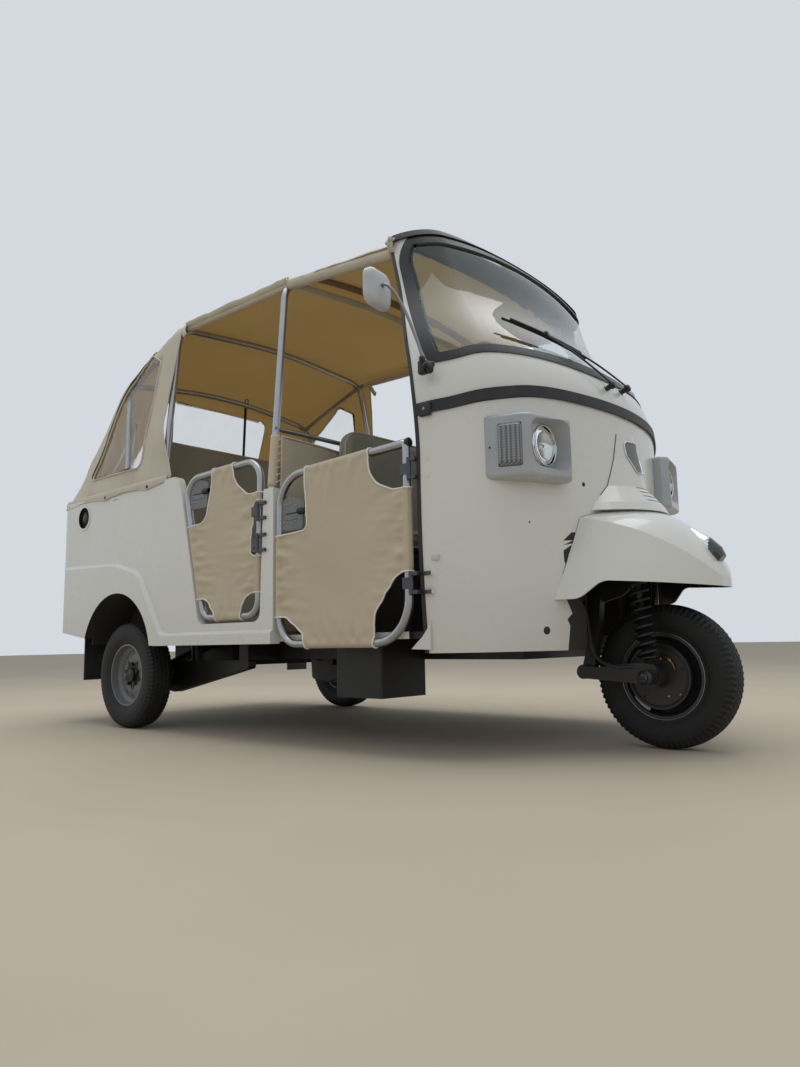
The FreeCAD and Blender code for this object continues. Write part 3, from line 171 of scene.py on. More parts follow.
def metal(name, colour, roughness, grain=(1.0, 1.0, 1.0), metallic=1.0, wear=0.12):
    made = Finish(name, Metallic=metallic)
    shade = made.noise(60.0, 6.0, 0.6, grain)
    made.colour(made.between(shade, 0.3, 0.7, colour, shaded(colour, 1 - wear)))
    made.rough(made.noise(140.0, 5.0, 0.6, grain), 0.3, 0.7, roughness - 0.06, roughness + 0.1)
    made.bump(shade, 0.08, 0.0004)
    return made.material


def rubber(name, colour, roughness=0.55, dust=0.25):
    made = Finish(name, Specular_IOR_Level=0.4)
    fine = made.noise(260.0, 6.0, 0.65)
    base = made.between(fine, 0.35, 0.7, colour, tuple(c * 1.5 + 0.004 for c in colour))
    film = made.ranged(made.noise(14.0, 6.0, 0.7), 0.45, 0.8, 0.0, dust)
    made.colour(made.mixed(film, base, (0.16, 0.145, 0.12)))
    made.rough(fine, 0.3, 0.7, roughness - 0.08, roughness + 0.12)
    made.bump(fine, 0.18, 0.0008)
    return made.material


def plastic(name, colour, roughness=0.42, texture=0.12, coat=0.0):
    made = Finish(name, Coat_Weight=coat)
    made.colour(made.between(made.noise(9.0), 0.3, 0.7, colour, shaded(colour, 0.88)))
    made.rough(made.noise(90.0), 0.3, 0.7, roughness - 0.05, roughness + 0.08)
    made.bump(made.noise(900.0, 2.0), texture, 0.0004)
    return made.material


def woven(name, colour, roughness=0.85, sheen=0.25, soil=0.18, crease=0.5, coated=0.0, painted_glow=None):
    """Coated canvas: a plain weave, faint soiling, shallow creases. painted_glow is painted daylight through the
    cloth.
    """
    made = Finish(name, Sheen_Weight=sheen, Sheen_Roughness=0.5, Coat_Weight=coated, Coat_Roughness=0.45,
                  Specular_IOR_Level=0.3)
    threads = [made.wave(1500.0, direction, 0.6) for direction in "XZY"]
    crossed = made.maths("MULTIPLY", threads[0], threads[1])
    weave = made.maths("ADD", crossed, made.maths("MULTIPLY", threads[2], 0.6))
    # painted light: an emission makes the cloth glow as if daylight shone through it
    if painted_glow:
        made.shader.inputs["Emission Color"].default_value = (*painted_glow, 1.0)
        made.shader.inputs["Emission Strength"].default_value = 1.0
    tone = made.between(made.noise(3.0, 5.0, 0.55), 0.35, 0.75, colour, shaded(colour, 1 - soil))
    fibre = made.maths("MULTIPLY", made.ranged(weave, 0.2, 1.3), 0.22)
    made.colour(made.mixed(fibre, tone, shaded(colour, 1.22)))
    made.rough(made.noise(46.0), 0.3, 0.7, roughness - 0.07, roughness + 0.07)
    made.bump(made.noise(16.0, 5.0, 0.55, (1.0, 1.0, 0.6)), crease * 0.35, 0.012)
    made.bump(weave, 0.3, 0.0005)
    return made.material


def leather(name, colour, roughness=0.5):
    made = Finish(name, Specular_IOR_Level=0.4, Coat_Weight=0.1, Coat_Roughness=0.4)
    cells = made.node("ShaderNodeTexVoronoi", feature="DISTANCE_TO_EDGE", Scale=620.0)
    made.link(made.place, cells.inputs["Vector"])
    made.colour(made.between(made.noise(8.0, 5.0), 0.35, 0.7, colour, shaded(colour, 0.85)))
    made.rough(made.noise(60.0), 0.3, 0.7, roughness - 0.06, roughness + 0.1)
    made.bump(made.ranged(cells.outputs["Distance"], 0.0, 0.12), 0.22, 0.0005)
    made.bump(made.noise(20.0, 3.0), 0.12, 0.004)
    return made.material


def clear(name, colour, roughness=0.02, waves=0.0, ior=1.45):
    made = Finish(name, Transmission_Weight=1.0, IOR=ior)
    made.colour(made.between(made.noise(12.0, 3.0), 0.3, 0.8, colour, shaded(colour, 0.96)))
    made.rough(made.noise(30.0, 5.0), 0.3, 0.8, roughness, roughness + 0.012)
    if waves:
        made.bump(made.noise(9.0), waves, 0.01)
    return made.material


def ribbed_lens(name):
    """A moulded lens with upright ribs, painted reflection in bright and dark rib bands, and faint cross lines.
    """
    made = Finish(name, Coat_Weight=1.0, Coat_Roughness=0.05)
    ribs = made.ranged(made.wave(62.0, "Y"), 0.15, 0.85)
    lines = made.ranged(made.wave(38.0, "Z", 1.5), 0.3, 0.9, 0.0, 0.45)
    # painted reflection: bright and dark bands along the ribs
    base = made.mixed(ribs, (0.07, 0.072, 0.075), (0.30, 0.31, 0.32))
    made.colour(made.mixed(lines, base, (0.10, 0.10, 0.105)))
    made.rough(ribs, 0.0, 1.0, 0.3, 0.12)
    made.bump(ribs, 0.4, 0.002)
    return made.material


PAINT = painted("cream_paint", (0.80, 0.79, 0.745))
STOP_PAINT = painted("stop_paint", (0.62, 0.61, 0.57), 0.4, 0.2)
# Dark liner paint, also laid as painted shade on the cab's inner faces and floor
LINER_AND_SHADE_PAINT = painted("liner_and_painted_shade", (0.018, 0.017, 0.0155), 0.6, 0.0, (0.07, 0.06, 0.045), 1.0)
CHASSIS_PAINT = painted("chassis_paint", (0.010, 0.010, 0.010), 0.45, 0.1, (0.05, 0.045, 0.038), 0.5)
RIM_PAINT = painted("rim_paint", (0.155, 0.16, 0.165), 0.4, 0.15, (0.12, 0.10, 0.08), 0.7)
RUBBER = rubber("black_rubber", (0.018, 0.018, 0.019), 0.5, 0.15)
TYRE_RUBBER = rubber("tyre_rubber", (0.0065, 0.0065, 0.0066), 0.6, 0.045)
GASKET_RUBBER = rubber("gasket_rubber", (0.009, 0.009, 0.0095), 0.36, 0.05)
HINGE_METAL = metal("hinge_metal", (0.105, 0.108, 0.112), 0.42)
DARK_CAST = metal("dark_cast", (0.035, 0.035, 0.036), 0.55, wear=0.3)
DARK_IRON = metal("dark_iron", (0.035, 0.034, 0.033), 0.5, metallic=0.5, wear=0.3)
HUB_METAL = metal("hub_metal", (0.06, 0.06, 0.062), 0.45, metallic=0.6)
STEEL_TUBE = metal("tube_steel", (0.44, 0.45, 0.46), 0.32, (1.0, 1.0, 0.12))
ZINC = metal("zinc_plate", (0.33, 0.335, 0.34), 0.42)
CHROME = metal("bright_chrome", (0.82, 0.83, 0.84), 0.08, wear=0.04)
BRASS = metal("brass_fitting", (0.30, 0.22, 0.10), 0.35)
MIRROR_GLASS = metal("mirror_glass", (0.9, 0.9, 0.9), 0.07, wear=0.02)
REFLECTOR = metal("lamp_reflector", (0.86, 0.87, 0.88), 0.12, wear=0.03)
BLACK_PLASTIC = plastic("black_plastic", (0.011, 0.011, 0.0115), 0.42)
GREY_PLASTIC = plastic("grey_plastic", (0.52, 0.53, 0.53), 0.4)
LATCH_PLASTIC = plastic("latch_plate", (0.20, 0.205, 0.21), 0.45)
LAMP_PLASTIC = plastic("lamp_housing", (0.46, 0.475, 0.495), 0.3, 0.05, 0.4)
MIRROR_SHELL = plastic("mirror_shell", (0.60, 0.61, 0.63), 0.35, 0.05)
RED_LENS = plastic("red_lens", (0.42, 0.012, 0.010), 0.12, 0.02, 1.0)
SMOKED_LENS = plastic("smoked_lens", (0.02, 0.024, 0.028), 0.1, 0.02, 1.0)
CANVAS = woven("canopy_canvas", (0.66, 0.60, 0.475), soil=0.1)
# Painted light: the canopy's inside glows with an emission that stands in for daylight through the cloth
CANVAS_INSIDE = woven("canopy_inside", (0.46, 0.30, 0.115), 0.9, 0.1, 0.1, painted_glow=(0.10, 0.066, 0.023))
SLEEVE_BROWN = woven("sleeve_brown", (0.26, 0.15, 0.08), 0.9, 0.1, 0.1)
DOOR_CANVAS = woven("door_canvas", (0.62, 0.525, 0.38), 0.66, soil=0.06, coated=0.18)
PIPING = woven("white_piping", (0.90, 0.875, 0.80), 0.75, soil=0.05, crease=0.1)
HEM_CANVAS = woven("hem_canvas", (0.66, 0.62, 0.53), 0.8, crease=0.2)
WEBBING = woven("white_webbing", (0.70, 0.69, 0.64), 0.8, crease=0.1)
BLACK_STRAP = woven("black_strap", (0.03, 0.03, 0.028), 0.8, crease=0.1)
SEAT_COVER = leather("seat_cover", (0.30, 0.275, 0.20))
SEAT_PIPING = leather("seat_piping", (0.50, 0.48, 0.40))
GLASS = clear("screen_glass", (0.80, 0.89, 0.87), 0.0)
LENS_GLASS = clear("lens_glass", (0.97, 0.98, 0.97))
FILM = clear("clear_film", (0.95, 0.95, 0.93), 0.05, 0.5, 1.3)
# Its bright and dark rib bands are painted reflection
MARKER_LENS = ribbed_lens("marker_lens")

NODE_FINISHES = (
    (PAINT, "cab_shell nose_cover front_mudguard side_panel_right side_panel_left rear_panel rear_lid "
            "floor_pan"),
    (LINER_AND_SHADE_PAINT, "wheel_liners"),
    (CHASSIS_PAINT, "chassis_rails rear_subframe steering_head rear_suspension steering_column swing_arm"),
    (BLACK_PLASTIC, "battery_box wiper dashboard handlebar"),
    (DARK_CAST, "engine"),
    (GLASS, "windscreen"),
    (GASKET_RUBBER, "windscreen_gasket"),
    (RUBBER, "rubber_trim mud_flaps front_spring"),
    (LAMP_PLASTIC, "headlamp_housings"),
    (LENS_GLASS, "headlamp_lenses"),
    (CHROME, "mudguard_lamp"),
    (GREY_PLASTIC, "mirrors"),
    (RED_LENS, "tail_lamps"),
    (TYRE_RUBBER, "front_tyre rear_tyre_right rear_tyre_left"),
    (HUB_METAL, "front_rim"),
    (RIM_PAINT, "rear_rim_right rear_rim_left"),
    (CANVAS, "canopy"),
    (FILM, "canopy_windows"),
    (SEAT_COVER, "driver_seat passenger_seat"),
    (STEEL_TUBE, "canopy_frame driver_door_frame_right driver_door_frame_left passenger_door_frame_right "
                 "passenger_door_frame_left"),
    (DOOR_CANVAS, "partition driver_door_canvas_right driver_door_canvas_left passenger_door_canvas_right "
                  "passenger_door_canvas_left"),
)
for finish, node_names in NODE_FINISHES:
    for node_name in node_names.split():
        NODES[node_name].data.materials.clear()
        NODES[node_name].data.materials.append(finish)


# Making pieces

def placed(name, mesh, finish, body, slot, smooth=True):
    """An object of a mesh that has one finish and rides on its body."""
    mesh.materials.append(finish)
    mesh.polygons.foreach_set("use_smooth", [smooth] * len(mesh.polygons))
    mesh.update()
    made = bpy.data.objects.new(name, mesh)
    bpy.context.scene.collection.objects.link(made)
    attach(made, body)
    return made


def piece(name, points, faces, finish, body, slot, smooth=True):
    """A piece from points in millimetres."""
    mesh = bpy.data.meshes.new(name)
    mesh.from_pydata([at(*p) for p in points], [], faces)
    return placed(name, mesh, finish, body, slot, smooth)


def tidy_normals(made):
    bpy.ops.object.select_all(action="DESELECT")
    bpy.context.view_layer.objects.active = made
    made.select_set(True)
    bpy.ops.object.mode_set(mode="EDIT")
    bpy.ops.mesh.select_all(action="SELECT")
    bpy.ops.mesh.normals_make_consistent(inside=False)
    bpy.ops.object.mode_set(mode="OBJECT")


class Group:
    """Small pieces of one body, joined at the end into one piece of the group's name."""

    def __init__(self, name, finish, body="chassis", slot="canvas"):
        self.name, self.finish, self.body, self.slot = name, finish, body, slot
        self.parts = []

    def add(self, make, *shape, finish=None, **options):
        name = f"{self.name}_{len(self.parts)}"
        made = make(name, *shape, finish or self.finish, self.body, self.slot, **options)
        self.parts.append(made)
        return made

    def join(self):
        bpy.ops.object.select_all(action="DESELECT")
        for part in self.parts:
            part.select_set(True)
        bpy.context.view_layer.objects.active = self.parts[0]
        bpy.ops.object.join()
        made = bpy.context.view_layer.objects.active
        made.name = self.name
        return made


def arc(before, p, after, radius, step=None, steps=None):
    """Points of the round corner at p between two straight runs of a plane line."""
    to_b, to_a = (before - p).normalized(), (after - p).normalized()
    half = to_b.angle(to_a) / 2
    reach = radius / math.tan(half)
    centre = p + (to_b + to_a).normalized() * (radius / math.sin(half))
    a, b = p + to_b * reach - centre, p + to_a * reach - centre
    turn = -a.angle_signed(b)
    steps = steps or max(2, int(abs(turn) * radius / step) + 2)
    line = []
    for k in range(steps + 1):
        c, s = math.cos(turn * k / steps), math.sin(turn * k / steps)
        line.append(centre + Vector((a.x * c - a.y * s, a.x * s + a.y * c)))
    return line


def rounded(points, radii, step=14.0, closed=True):
    """Plane points along an outline of straight runs and tangent arcs, about step apart on the runs."""
    count = len(points)
    route = []
    for i, p in enumerate(points):
        if radii[i] and (closed or 0 < i < count - 1):
            route += arc(Vector(points[i - 1]), Vector(p), Vector(points[(i + 1) % count]), radii[i], step)
        else:
            route.append(Vector(p))
    filled = []
    for i in range(len(route) if closed else len(route) - 1):
        a, b = route[i], route[(i + 1) % len(route)]
        steps = max(1, round((b - a).length / step))
        filled += [a.lerp(b, k / steps) for k in range(steps)]
    return filled if closed else filled + [route[-1]]


def rounded_path(points, reach):
    """Points along straight runs in space with eased corners."""
    points = [Vector(p) for p in points]
    line = [points[0]]
    for before, p, after in zip(points, points[1:], points[2:]):
        cut = min(reach, (before - p).length * 0.45, (after - p).length * 0.45)
        a, b = p + (before - p).normalized() * cut, p + (after - p).normalized() * cut
        for k in range(7):
            t = k / 6
            line.append(a * (1 - t) ** 2 + p * (2 * t * (1 - t)) + b * t ** 2)
    return line + [points[-1]]


def circle(radius, count, turn=0.0):
    """Plane points round a circle."""
    angles = [turn + 2 * math.pi * k / count for k in range(count)]
    return [(radius * math.cos(a), radius * math.sin(a)) for a in angles]


def inside(p, outline):
    """True where a plane point lies inside a closed outline."""
    hit = False
    for a, b in zip([outline[-1]] + outline[:-1], outline):
        if (a[1] > p[1]) != (b[1] > p[1]) and p[0] < (b[0] - a[0]) * (p[1] - a[1]) / (b[1] - a[1]) + a[0]:
            hit = not hit
    return hit


def net(outline, step):
    """Triangles that fill a closed plane outline with points about step apart: points, faces, rim."""
    xs, ys = [p[0] for p in outline], [p[1] for p in outline]
    points = [Vector((p[0], p[1])) for p in outline]
    rim = len(points)
    row_step = step * 0.87
    for j in range(int((max(ys) - min(ys)) / row_step) + 1):
        y = min(ys) + j * step * 0.87
        x = min(xs) + (j % 2) * step / 2
        while x < max(xs):
            p = Vector((x, y))
            if inside(p, outline) and min((p - points[i]).length for i in range(rim)) > step * 0.55:
                points.append(p)
            x += step
    edges = [(i, (i + 1) % rim) for i in range(rim)]
    done = delaunay_2d_cdt(points, edges, [], 1, 1e-4)
    return [tuple(p) for p in done[0]], [tuple(f) for f in done[2]], rim


def flipped(faces):
    return [tuple(reversed(f)) for f in faces]


def grid_faces(rows, columns):
    """Quads between rows of points that follow each other."""
    corners = [i * columns + j for i in range(rows - 1) for j in range(columns - 1)]
    return [(a, a + 1, a + columns + 1, a + columns) for a in corners]


def prism(low, high):
    """Points and faces of a closed form between two outlines of as many points."""
    count = len(low)
    faces = [tuple(range(count)), tuple(reversed(range(count, 2 * count)))]
    faces += [(i, i + count, (i + 1) % count + count, (i + 1) % count) for i in range(count)]
    return low + high, faces


def facing(points, faces, index, direction):
    """The faces and point normals, turned over where the normal at one point looks away from a direction."""
    normals = [Vector((0, 0, 0)) for _ in points]
    for f in faces:
        a, b, c = (Vector(points[i]) for i in f[:3])
        for i in f:
            normals[i] += (b - a).cross(c - a)
    normals = [n.normalized() for n in normals]
    if normals[index].dot(Vector(direction)) < 0:
        return flipped(faces), [-n for n in normals]
    return faces, normals


def shell_of(points, faces, normals, thickness):
    """Both skins of a thin sheet and the strip round its edges, from its outer points and their normals."""
    count = len(points)
    inner = [tuple(Vector(p) - Vector(n) * thickness) for p, n in zip(points, normals)]
    back = [tuple(count + i for i in f) for f in flipped(faces)]
    edges = dict.fromkeys((f[i], f[(i + 1) % len(f)]) for f in faces for i in range(len(f)))
    strip = [(b, a, count + a, count + b) for a, b in edges if (b, a) not in edges]
    return list(points) + inner, list(faces) + back + strip


def ringed(name, points, sides, finish, body, slot, smooth=True, closed=False):
    """A skin over rings of points that follow each other, with both ends filled where it isn't closed."""
    count = len(points) // sides
    faces = []
    for i in range(count if closed else count - 1):
        a, b = i * sides, (i + 1) % count * sides
        faces += [(a + k, a + (k + 1) % sides, b + (k + 1) % sides, b + k) for k in range(sides)]
    if not closed:
        faces += [tuple(reversed(range(sides))), tuple((count - 1) * sides + k for k in range(sides))]
    return piece(name, points, faces, finish, body, slot, smooth)


def tube_along(name, route, radius, finish, body, slot, closed=False, sides=10, flat=1.0, up=None):
    """A smooth round or flattened tube through points in millimetres."""
    line = [Vector(p) for p in route]
    last = len(line) - 1
    points = []
    normal = Vector(up) if up else None
    for i, p in enumerate(line):
        ahead = line[(i + 1) % len(line)] if closed or i < last else p
        behind = line[i - 1] if closed or i else p
        along = (ahead - behind).normalized()
        if normal is None:
            normal = along.orthogonal()
        normal = (normal - along * normal.dot(along)).normalized()
        across = along.cross(normal)
        points += [tuple(p + normal * (flat * u) + across * v) for u, v in circle(radius, sides)]
    return ringed(name, points, sides, finish, body, slot, closed=closed)


def lathe(name, profile, centre, axis, finish, body, slot, sides=40, smooth=True, lobes=0, lobe_share=0.0):
    """A turned piece: profile rows are distance along the axis and radius. Lobes make it wavy."""
    axis = Vector(axis).normalized()
    out = axis.orthogonal().normalized()
    across = axis.cross(out)
    points = []
    for along, r in profile:
        for k, (u, v) in enumerate(circle(r, sides)):
            swell = 1 + lobe_share * math.cos(2 * math.pi * k / sides * lobes)
            points.append(tuple(Vector(centre) + axis * along + out * (u * swell) + across * (v * swell)))
    return ringed(name, points, sides, finish, body, slot, smooth)


def stud(name, centre, axis, radius, height, finish, body, slot):
    """A low domed rivet or snap head."""
    rows = [(-1.0, radius * 0.98), (0.0, radius), (height * 0.5, radius * 0.86),
            (height * 0.85, radius * 0.5), (height, radius * 0.1)]
    return lathe(name, rows, centre, axis, finish, body, slot, 14)


def block(name, half, radius, centre, finish, body, slot, turn=0.0, axis="Z", segments=4):
    """A box with rounded edges: half lengths along x, y and z, turned about an axis through its centre."""
    form = bmesh.new()
    bmesh.ops.create_cube(form, size=2.0)
    bmesh.ops.scale(form, vec=[h / 1000 for h in half], verts=form.verts)
    bmesh.ops.bevel(form, geom=form.edges[:], offset=radius / 1000, segments=segments, profile=0.5,
                    affect="EDGES")
    place = Matrix.Translation(at(*centre)) @ Matrix.Rotation(turn, 4, axis)
    bmesh.ops.transform(form, matrix=place, verts=form.verts)
    mesh = bpy.data.meshes.new(name)
    form.to_mesh(mesh)
    form.free()
    return placed(name, mesh, finish, body, slot)


def recolour(node, finish, chosen):
    """Gives the faces of a CAD node whose middle and normal pass the test another finish."""
    mesh = NODES[node].data
    index = mesh.materials.find(finish.name)
    if index < 0:
        mesh.materials.append(finish)
        index = len(mesh.materials) - 1
    for polygon in mesh.polygons:
        c = polygon.center
        if chosen(c.x * 1000 + MIDDLE_X, c.y * 1000, c.z * 1000, polygon.normal):
            polygon.material_index = index


def surface(node):
    mesh = NODES[node].data
    faces = [tuple(p.vertices) for p in mesh.polygons]
    return BVHTree.FromPolygons([v.co.copy() for v in mesh.vertices], faces)


def struck(tree, start, along):
    """Where a line from a start point first meets the surface, in millimetres, and the normal there."""
    found, normal, _, _ = tree.ray_cast(at(*start), Vector(along).normalized())
    if found is None:
        return None, None
    return Vector((found.x * 1000 + MIDDLE_X, found.y * 1000, found.z * 1000)), normal


def skin_area(made):
    """Area of one skin of a thin closed sheet, in square metres."""
    return sum(p.area for p in made.data.polygons) / 2


# Camera, floor and light
CAMERA_AT = (3355.5, -2576.0, 362.7)
CAMERA_YAW, CAMERA_PITCH, CAMERA_ROLL = (math.radians(a) for a in (41.9819, 7.7178, -1.0391))
CAMERA_LENS, CAMERA_SENSOR = 26.84, 36.0
FLOOR_HALF = 40.0
SKY_LIGHT, SKY_STRENGTH = (0.86, 0.93, 1.0, 1.0), 0.44
SKY_SEEN, SKY_SEEN_STRENGTH = (0.82, 0.87, 0.93, 1.0), 0.8
# rows: name, place, aim, size, power in watts, seen in shiny surfaces
LAMPS = (("overhead", (600, 300, 6200), (700, 0, 700), 6.0, 200.0, True),
         ("front_left", (5200, -4200, 3600), (900, 0, 800), 4.0, 24.0, False),
         ("rear_side", (-3800, -4200, 3200), (400, -300, 800), 4.0, 8.0, True))


def make_camera():
    camera = bpy.data.objects.new("camera", bpy.data.cameras.new("camera"))
    bpy.context.scene.collection.objects.link(camera)
    camera.data.lens = CAMERA_LENS
    camera.data.sensor_width = CAMERA_SENSOR
    sy, cy = math.sin(CAMERA_YAW), math.cos(CAMERA_YAW)
    sp, cp = math.sin(CAMERA_PITCH), math.cos(CAMERA_PITCH)
    ahead = Vector((-sy * cp, cy * cp, sp))
    right = Vector((cy, sy, 0.0))
    above = right.cross(ahead)
    turned_right = right * math.cos(CAMERA_ROLL) + above * math.sin(CAMERA_ROLL)
    turned_above = above * math.cos(CAMERA_ROLL) - right * math.sin(CAMERA_ROLL)
    turn = Matrix((turned_right, turned_above, -ahead)).transposed()
    camera.matrix_world = Matrix.Translation(at(*CAMERA_AT)) @ turn.to_4x4()
    bpy.context.scene.camera = camera


def seen_rays(nodes, links):
    """1 for camera, glossy and transmission rays, 0 for the light that falls on things."""
    path = nodes.new("ShaderNodeLightPath")
    total = path.outputs["Is Camera Ray"]
    for name in ("Is Glossy Ray", "Is Transmission Ray"):
        most = nodes.new("ShaderNodeMath")
        most.operation = "MAXIMUM"
        links.new(total, most.inputs[0])
        links.new(path.outputs[name], most.inputs[1])
        total = most.outputs[0]
    return total


def make_floor():
    mesh = bpy.data.meshes.new("floor")
    corners = [(-1, -1), (1, -1), (1, 1), (-1, 1)]
    mesh.from_pydata([(x * FLOOR_HALF, y * FLOOR_HALF, 0) for x, y in corners], [], [(0, 1, 2, 3)])
    floor = bpy.data.objects.new("floor", mesh)
    bpy.context.scene.collection.objects.link(floor)
    ground = Finish("pale_floor", Roughness=0.85, Specular_IOR_Level=0.2)
    ground.colour(ground.between(ground.noise(0.8, 5.0), 0.3, 0.7, (0.64, 0.555, 0.43), (0.59, 0.505, 0.385)))
    mesh.materials.append(ground.material)


def make_sky():
    world = bpy.data.worlds.new("sky")
    bpy.context.scene.world = world
    world.use_nodes = True
    nodes, links = world.node_tree.nodes, world.node_tree.links
    light, shown = nodes["Background"], nodes.new("ShaderNodeBackground")
    for node, colour, strength in ((light, SKY_LIGHT, SKY_STRENGTH), (shown, SKY_SEEN, SKY_SEEN_STRENGTH)):
        node.inputs["Color"].default_value = colour
        node.inputs["Strength"].default_value = strength
    mix = nodes.new("ShaderNodeMixShader")
    links.new(seen_rays(nodes, links), mix.inputs["Fac"])
    links.new(light.outputs[0], mix.inputs[1])
    links.new(shown.outputs[0], mix.inputs[2])
    links.new(mix.outputs[0], nodes["World Output"].inputs["Surface"])


def make_lamps():
    for name, place, aim, size, power, glossy in LAMPS:
        data = bpy.data.lights.new(name, "AREA")
        data.size = size
        data.energy = power
        lamp = bpy.data.objects.new(name, data)
        lamp.visible_glossy = glossy
        lamp.visible_transmission = False
        bpy.context.scene.collection.objects.link(lamp)
        lamp.location = at(*place)
        lamp.rotation_mode = "QUATERNION"
        lamp.rotation_quaternion = (at(*aim) - at(*place)).to_track_quat("-Z", "Y")


# Canopy: rows are x, half width at the rim, half width and height of the roof corner, height at the middle
RIM_HALF = BODY_HALF - 5.0
CANOPY_ROWS = ((TUB_REAR_X + 12.0, RIM_HALF - 68.0, 645.0, 1145.0, 1158.0),
               (-600.0, RIM_HALF - 8.0, 638.0, 1238.0, 1266.0), (-265.0, RIM_HALF, 606.0, 1690.0, 1768.0),
               (200.0, RIM_HALF, 616.0, 1858.0, 1908.0), (975.0, RIM_HALF, 618.0, 1838.0, 1890.0),
               (1575.0, RIM_HALF, 590.0, 1795.0, 1858.0))
CANOPY_CORNER_R = 90.0
CANOPY_LOW_Z = RIM_Z - 34.0
CANOPY_T, FILM_T, FILM_DEPTH = 2.4, 0.8, 3.0
EDGE_DROP = 26.0
SIDE_STEPS, BEND_STEPS, CROWN_STEPS = 26, 8, 24
# rows: shift along x and weight of the measures that are blended over a hoop
HOOP_BLEND = ((-1.0, 0.1), (-0.5, 0.25), (0.0, 0.3), (0.5, 0.25), (1.0, 0.1))
# rows: from x, to x, depth of the roof's sag between two hoops
SAGS = ((-265.0, 200.0, 7.0), (200.0, 975.0, 12.0), (975.0, 1575.0, 8.0), (-600.0, -265.0, 5.0))
# The front shell's edge in the door opening, low and high point, and the seal on it
EDGE_LOW, EDGE_HIGH, EDGE_SEAL = (1780.0, 1110.0), (1483.0, 1950.0), 14.0
FRONT_LEAN_X = 1200
SIDE_GAP = ((352.0, 900.0), (1800.0, 900.0), (1800.0, 1740.0), (1575.0, 1795.0 - EDGE_DROP),
            (975.0, 1838.0 - EDGE_DROP), (262.0, 1830.0), (222.0, 1350.0), (352.0, 1089.0))
SIDE_GAP_RADII = (0, 0, 0, 0, 0, 30, 120, 0)
REAR_WINDOW = ((-420.0, 1285.0), (420.0, 1285.0), (330.0, 1670.0), (-330.0, 1670.0))
REAR_RADII = (60, 60, 60, 60)
QUARTER_WINDOW = ((-400.0, 1186.0), (84.0, 1176.0), (76.0, 1310.0), (118.0, 1690.0), (12.0, 1750.0),
                  (-235.0, 1590.0))
QUARTER_RADII = (20, 30, 150, 30, 30, 120)
# rows: outline, corner radii, axis of the cut, its two ends
SIDE_CUTS = tuple((SIDE_GAP, SIDE_GAP_RADII, "y", low, high) for low, high in ((-900, -300), (300, 900)))
WINDOW_CUTS = ((REAR_WINDOW, REAR_RADII, "x", -800, -180), (QUARTER_WINDOW, QUARTER_RADII, "y", -800, -300),
               (QUARTER_WINDOW, QUARTER_RADII, "y", 300, 800))
# rows: name and flat size in metres, in the order of the cuts
FILMS = (("rear_film", (0.86, 0.55)), ("quarter_film_right", (0.46, 0.58)),
         ("quarter_film_left", (0.46, 0.58)))
FILM_TUCK = 1.024


def waver(x, y, z=0.0):
    """Smooth noise between about -1 and 1."""
    return noise.noise(Vector((x, y, z)))


def canopy_row(x):
    """The canopy's measures at x, rounded a little over each hoop."""
    def straight(v):
        v = min(max(v, CANOPY_ROWS[0][0]), CANOPY_ROWS[-1][0])
        for a, b in zip(CANOPY_ROWS, CANOPY_ROWS[1:]):
            if v <= b[0]:
                t = (v - a[0]) / (b[0] - a[0])
                return [p + (q - p) * t for p, q in zip(a[1:], b[1:])]

    near = 26.0 if x > -560 else 8.0
    rows = [(straight(x + near * shift), weight) for shift, weight in HOOP_BLEND]
    return [sum(row[i] * weight for row, weight in rows) for i in range(4)]


def sag_at(x):
    for a, b, deep in SAGS:
        if a < x < b:
            t = (x - a) / (b - a)
            return deep * 4 * t * (1 - t)
    return 0.0


def canopy_ring(x, low_z=CANOPY_LOW_Z):
    """Plane points of a section at x, from the right rim over the roof to the left rim."""
    foot, shoulder, side_z, top_z = canopy_row(x)
    low, top = Vector((-foot, low_z)), Vector((0.0, top_z))
    bend = arc(low, Vector((-shoulder, side_z)), top, CANOPY_CORNER_R, steps=BEND_STEPS)
    high = bend[-1]
    line = [low.lerp(bend[0], k / SIDE_STEPS) for k in range(SIDE_STEPS)] + bend
    sagitta = top.y - high.y
    radius = (high.x ** 2 + sagitta ** 2) / (2 * sagitta)
    for k in range(1, CROWN_STEPS + 1):
        y = high.x * (1 - k / CROWN_STEPS)
        z = top.y - radius + math.sqrt(radius ** 2 - y ** 2)
        line.append(Vector((y, z - sag_at(x) * (1 - (y / high.x) ** 2))))
    return line + [Vector((-p.x, p.y)) for p in reversed(line[:-1])]


def canopy_stations():
    xs = []
    for a, b in zip(CANOPY_ROWS, CANOPY_ROWS[1:]):
        steps = max(4, round((b[0] - a[0]) / 24))
        xs += [a[0] + (b[0] - a[0]) * k / steps for k in range(steps)]
    return xs + [CANOPY_ROWS[-1][0]]


def front_edge_x(z):
    """Rear face of the front shell's seal at a height on the roof."""
    slope = (EDGE_LOW[0] - EDGE_HIGH[0]) / (EDGE_HIGH[1] - EDGE_LOW[1])
    return EDGE_LOW[0] - (z - EDGE_LOW[1]) * slope - EDGE_SEAL


def creased(x, y, z):
    """How far the canvas stands off its stretched form: shallow folds that run from the hoops to the rim."""
    folds = waver(x * 0.006, y * 0.004, z * 0.004)
    fine = waver(x * 0.022 + 7, y * 0.012, z * 0.009 + 3)
    lean = math.sin((x * 0.45 + z * 0.62) * 0.035 + 2.5 * waver(x * 0.003, z * 0.003, 5))
    low = max(0.0, min(1.0, (1500 - z) / 420)) if x < 420 else 0.0
    return max(-3.2, folds * 4.5 + fine * 3.4 + lean * 5.5 * low)


def roof_outward(p):
    """The way out of the canopy at a plane point of a section."""
    return Vector((p.x, p.y - 1500)).normalized()


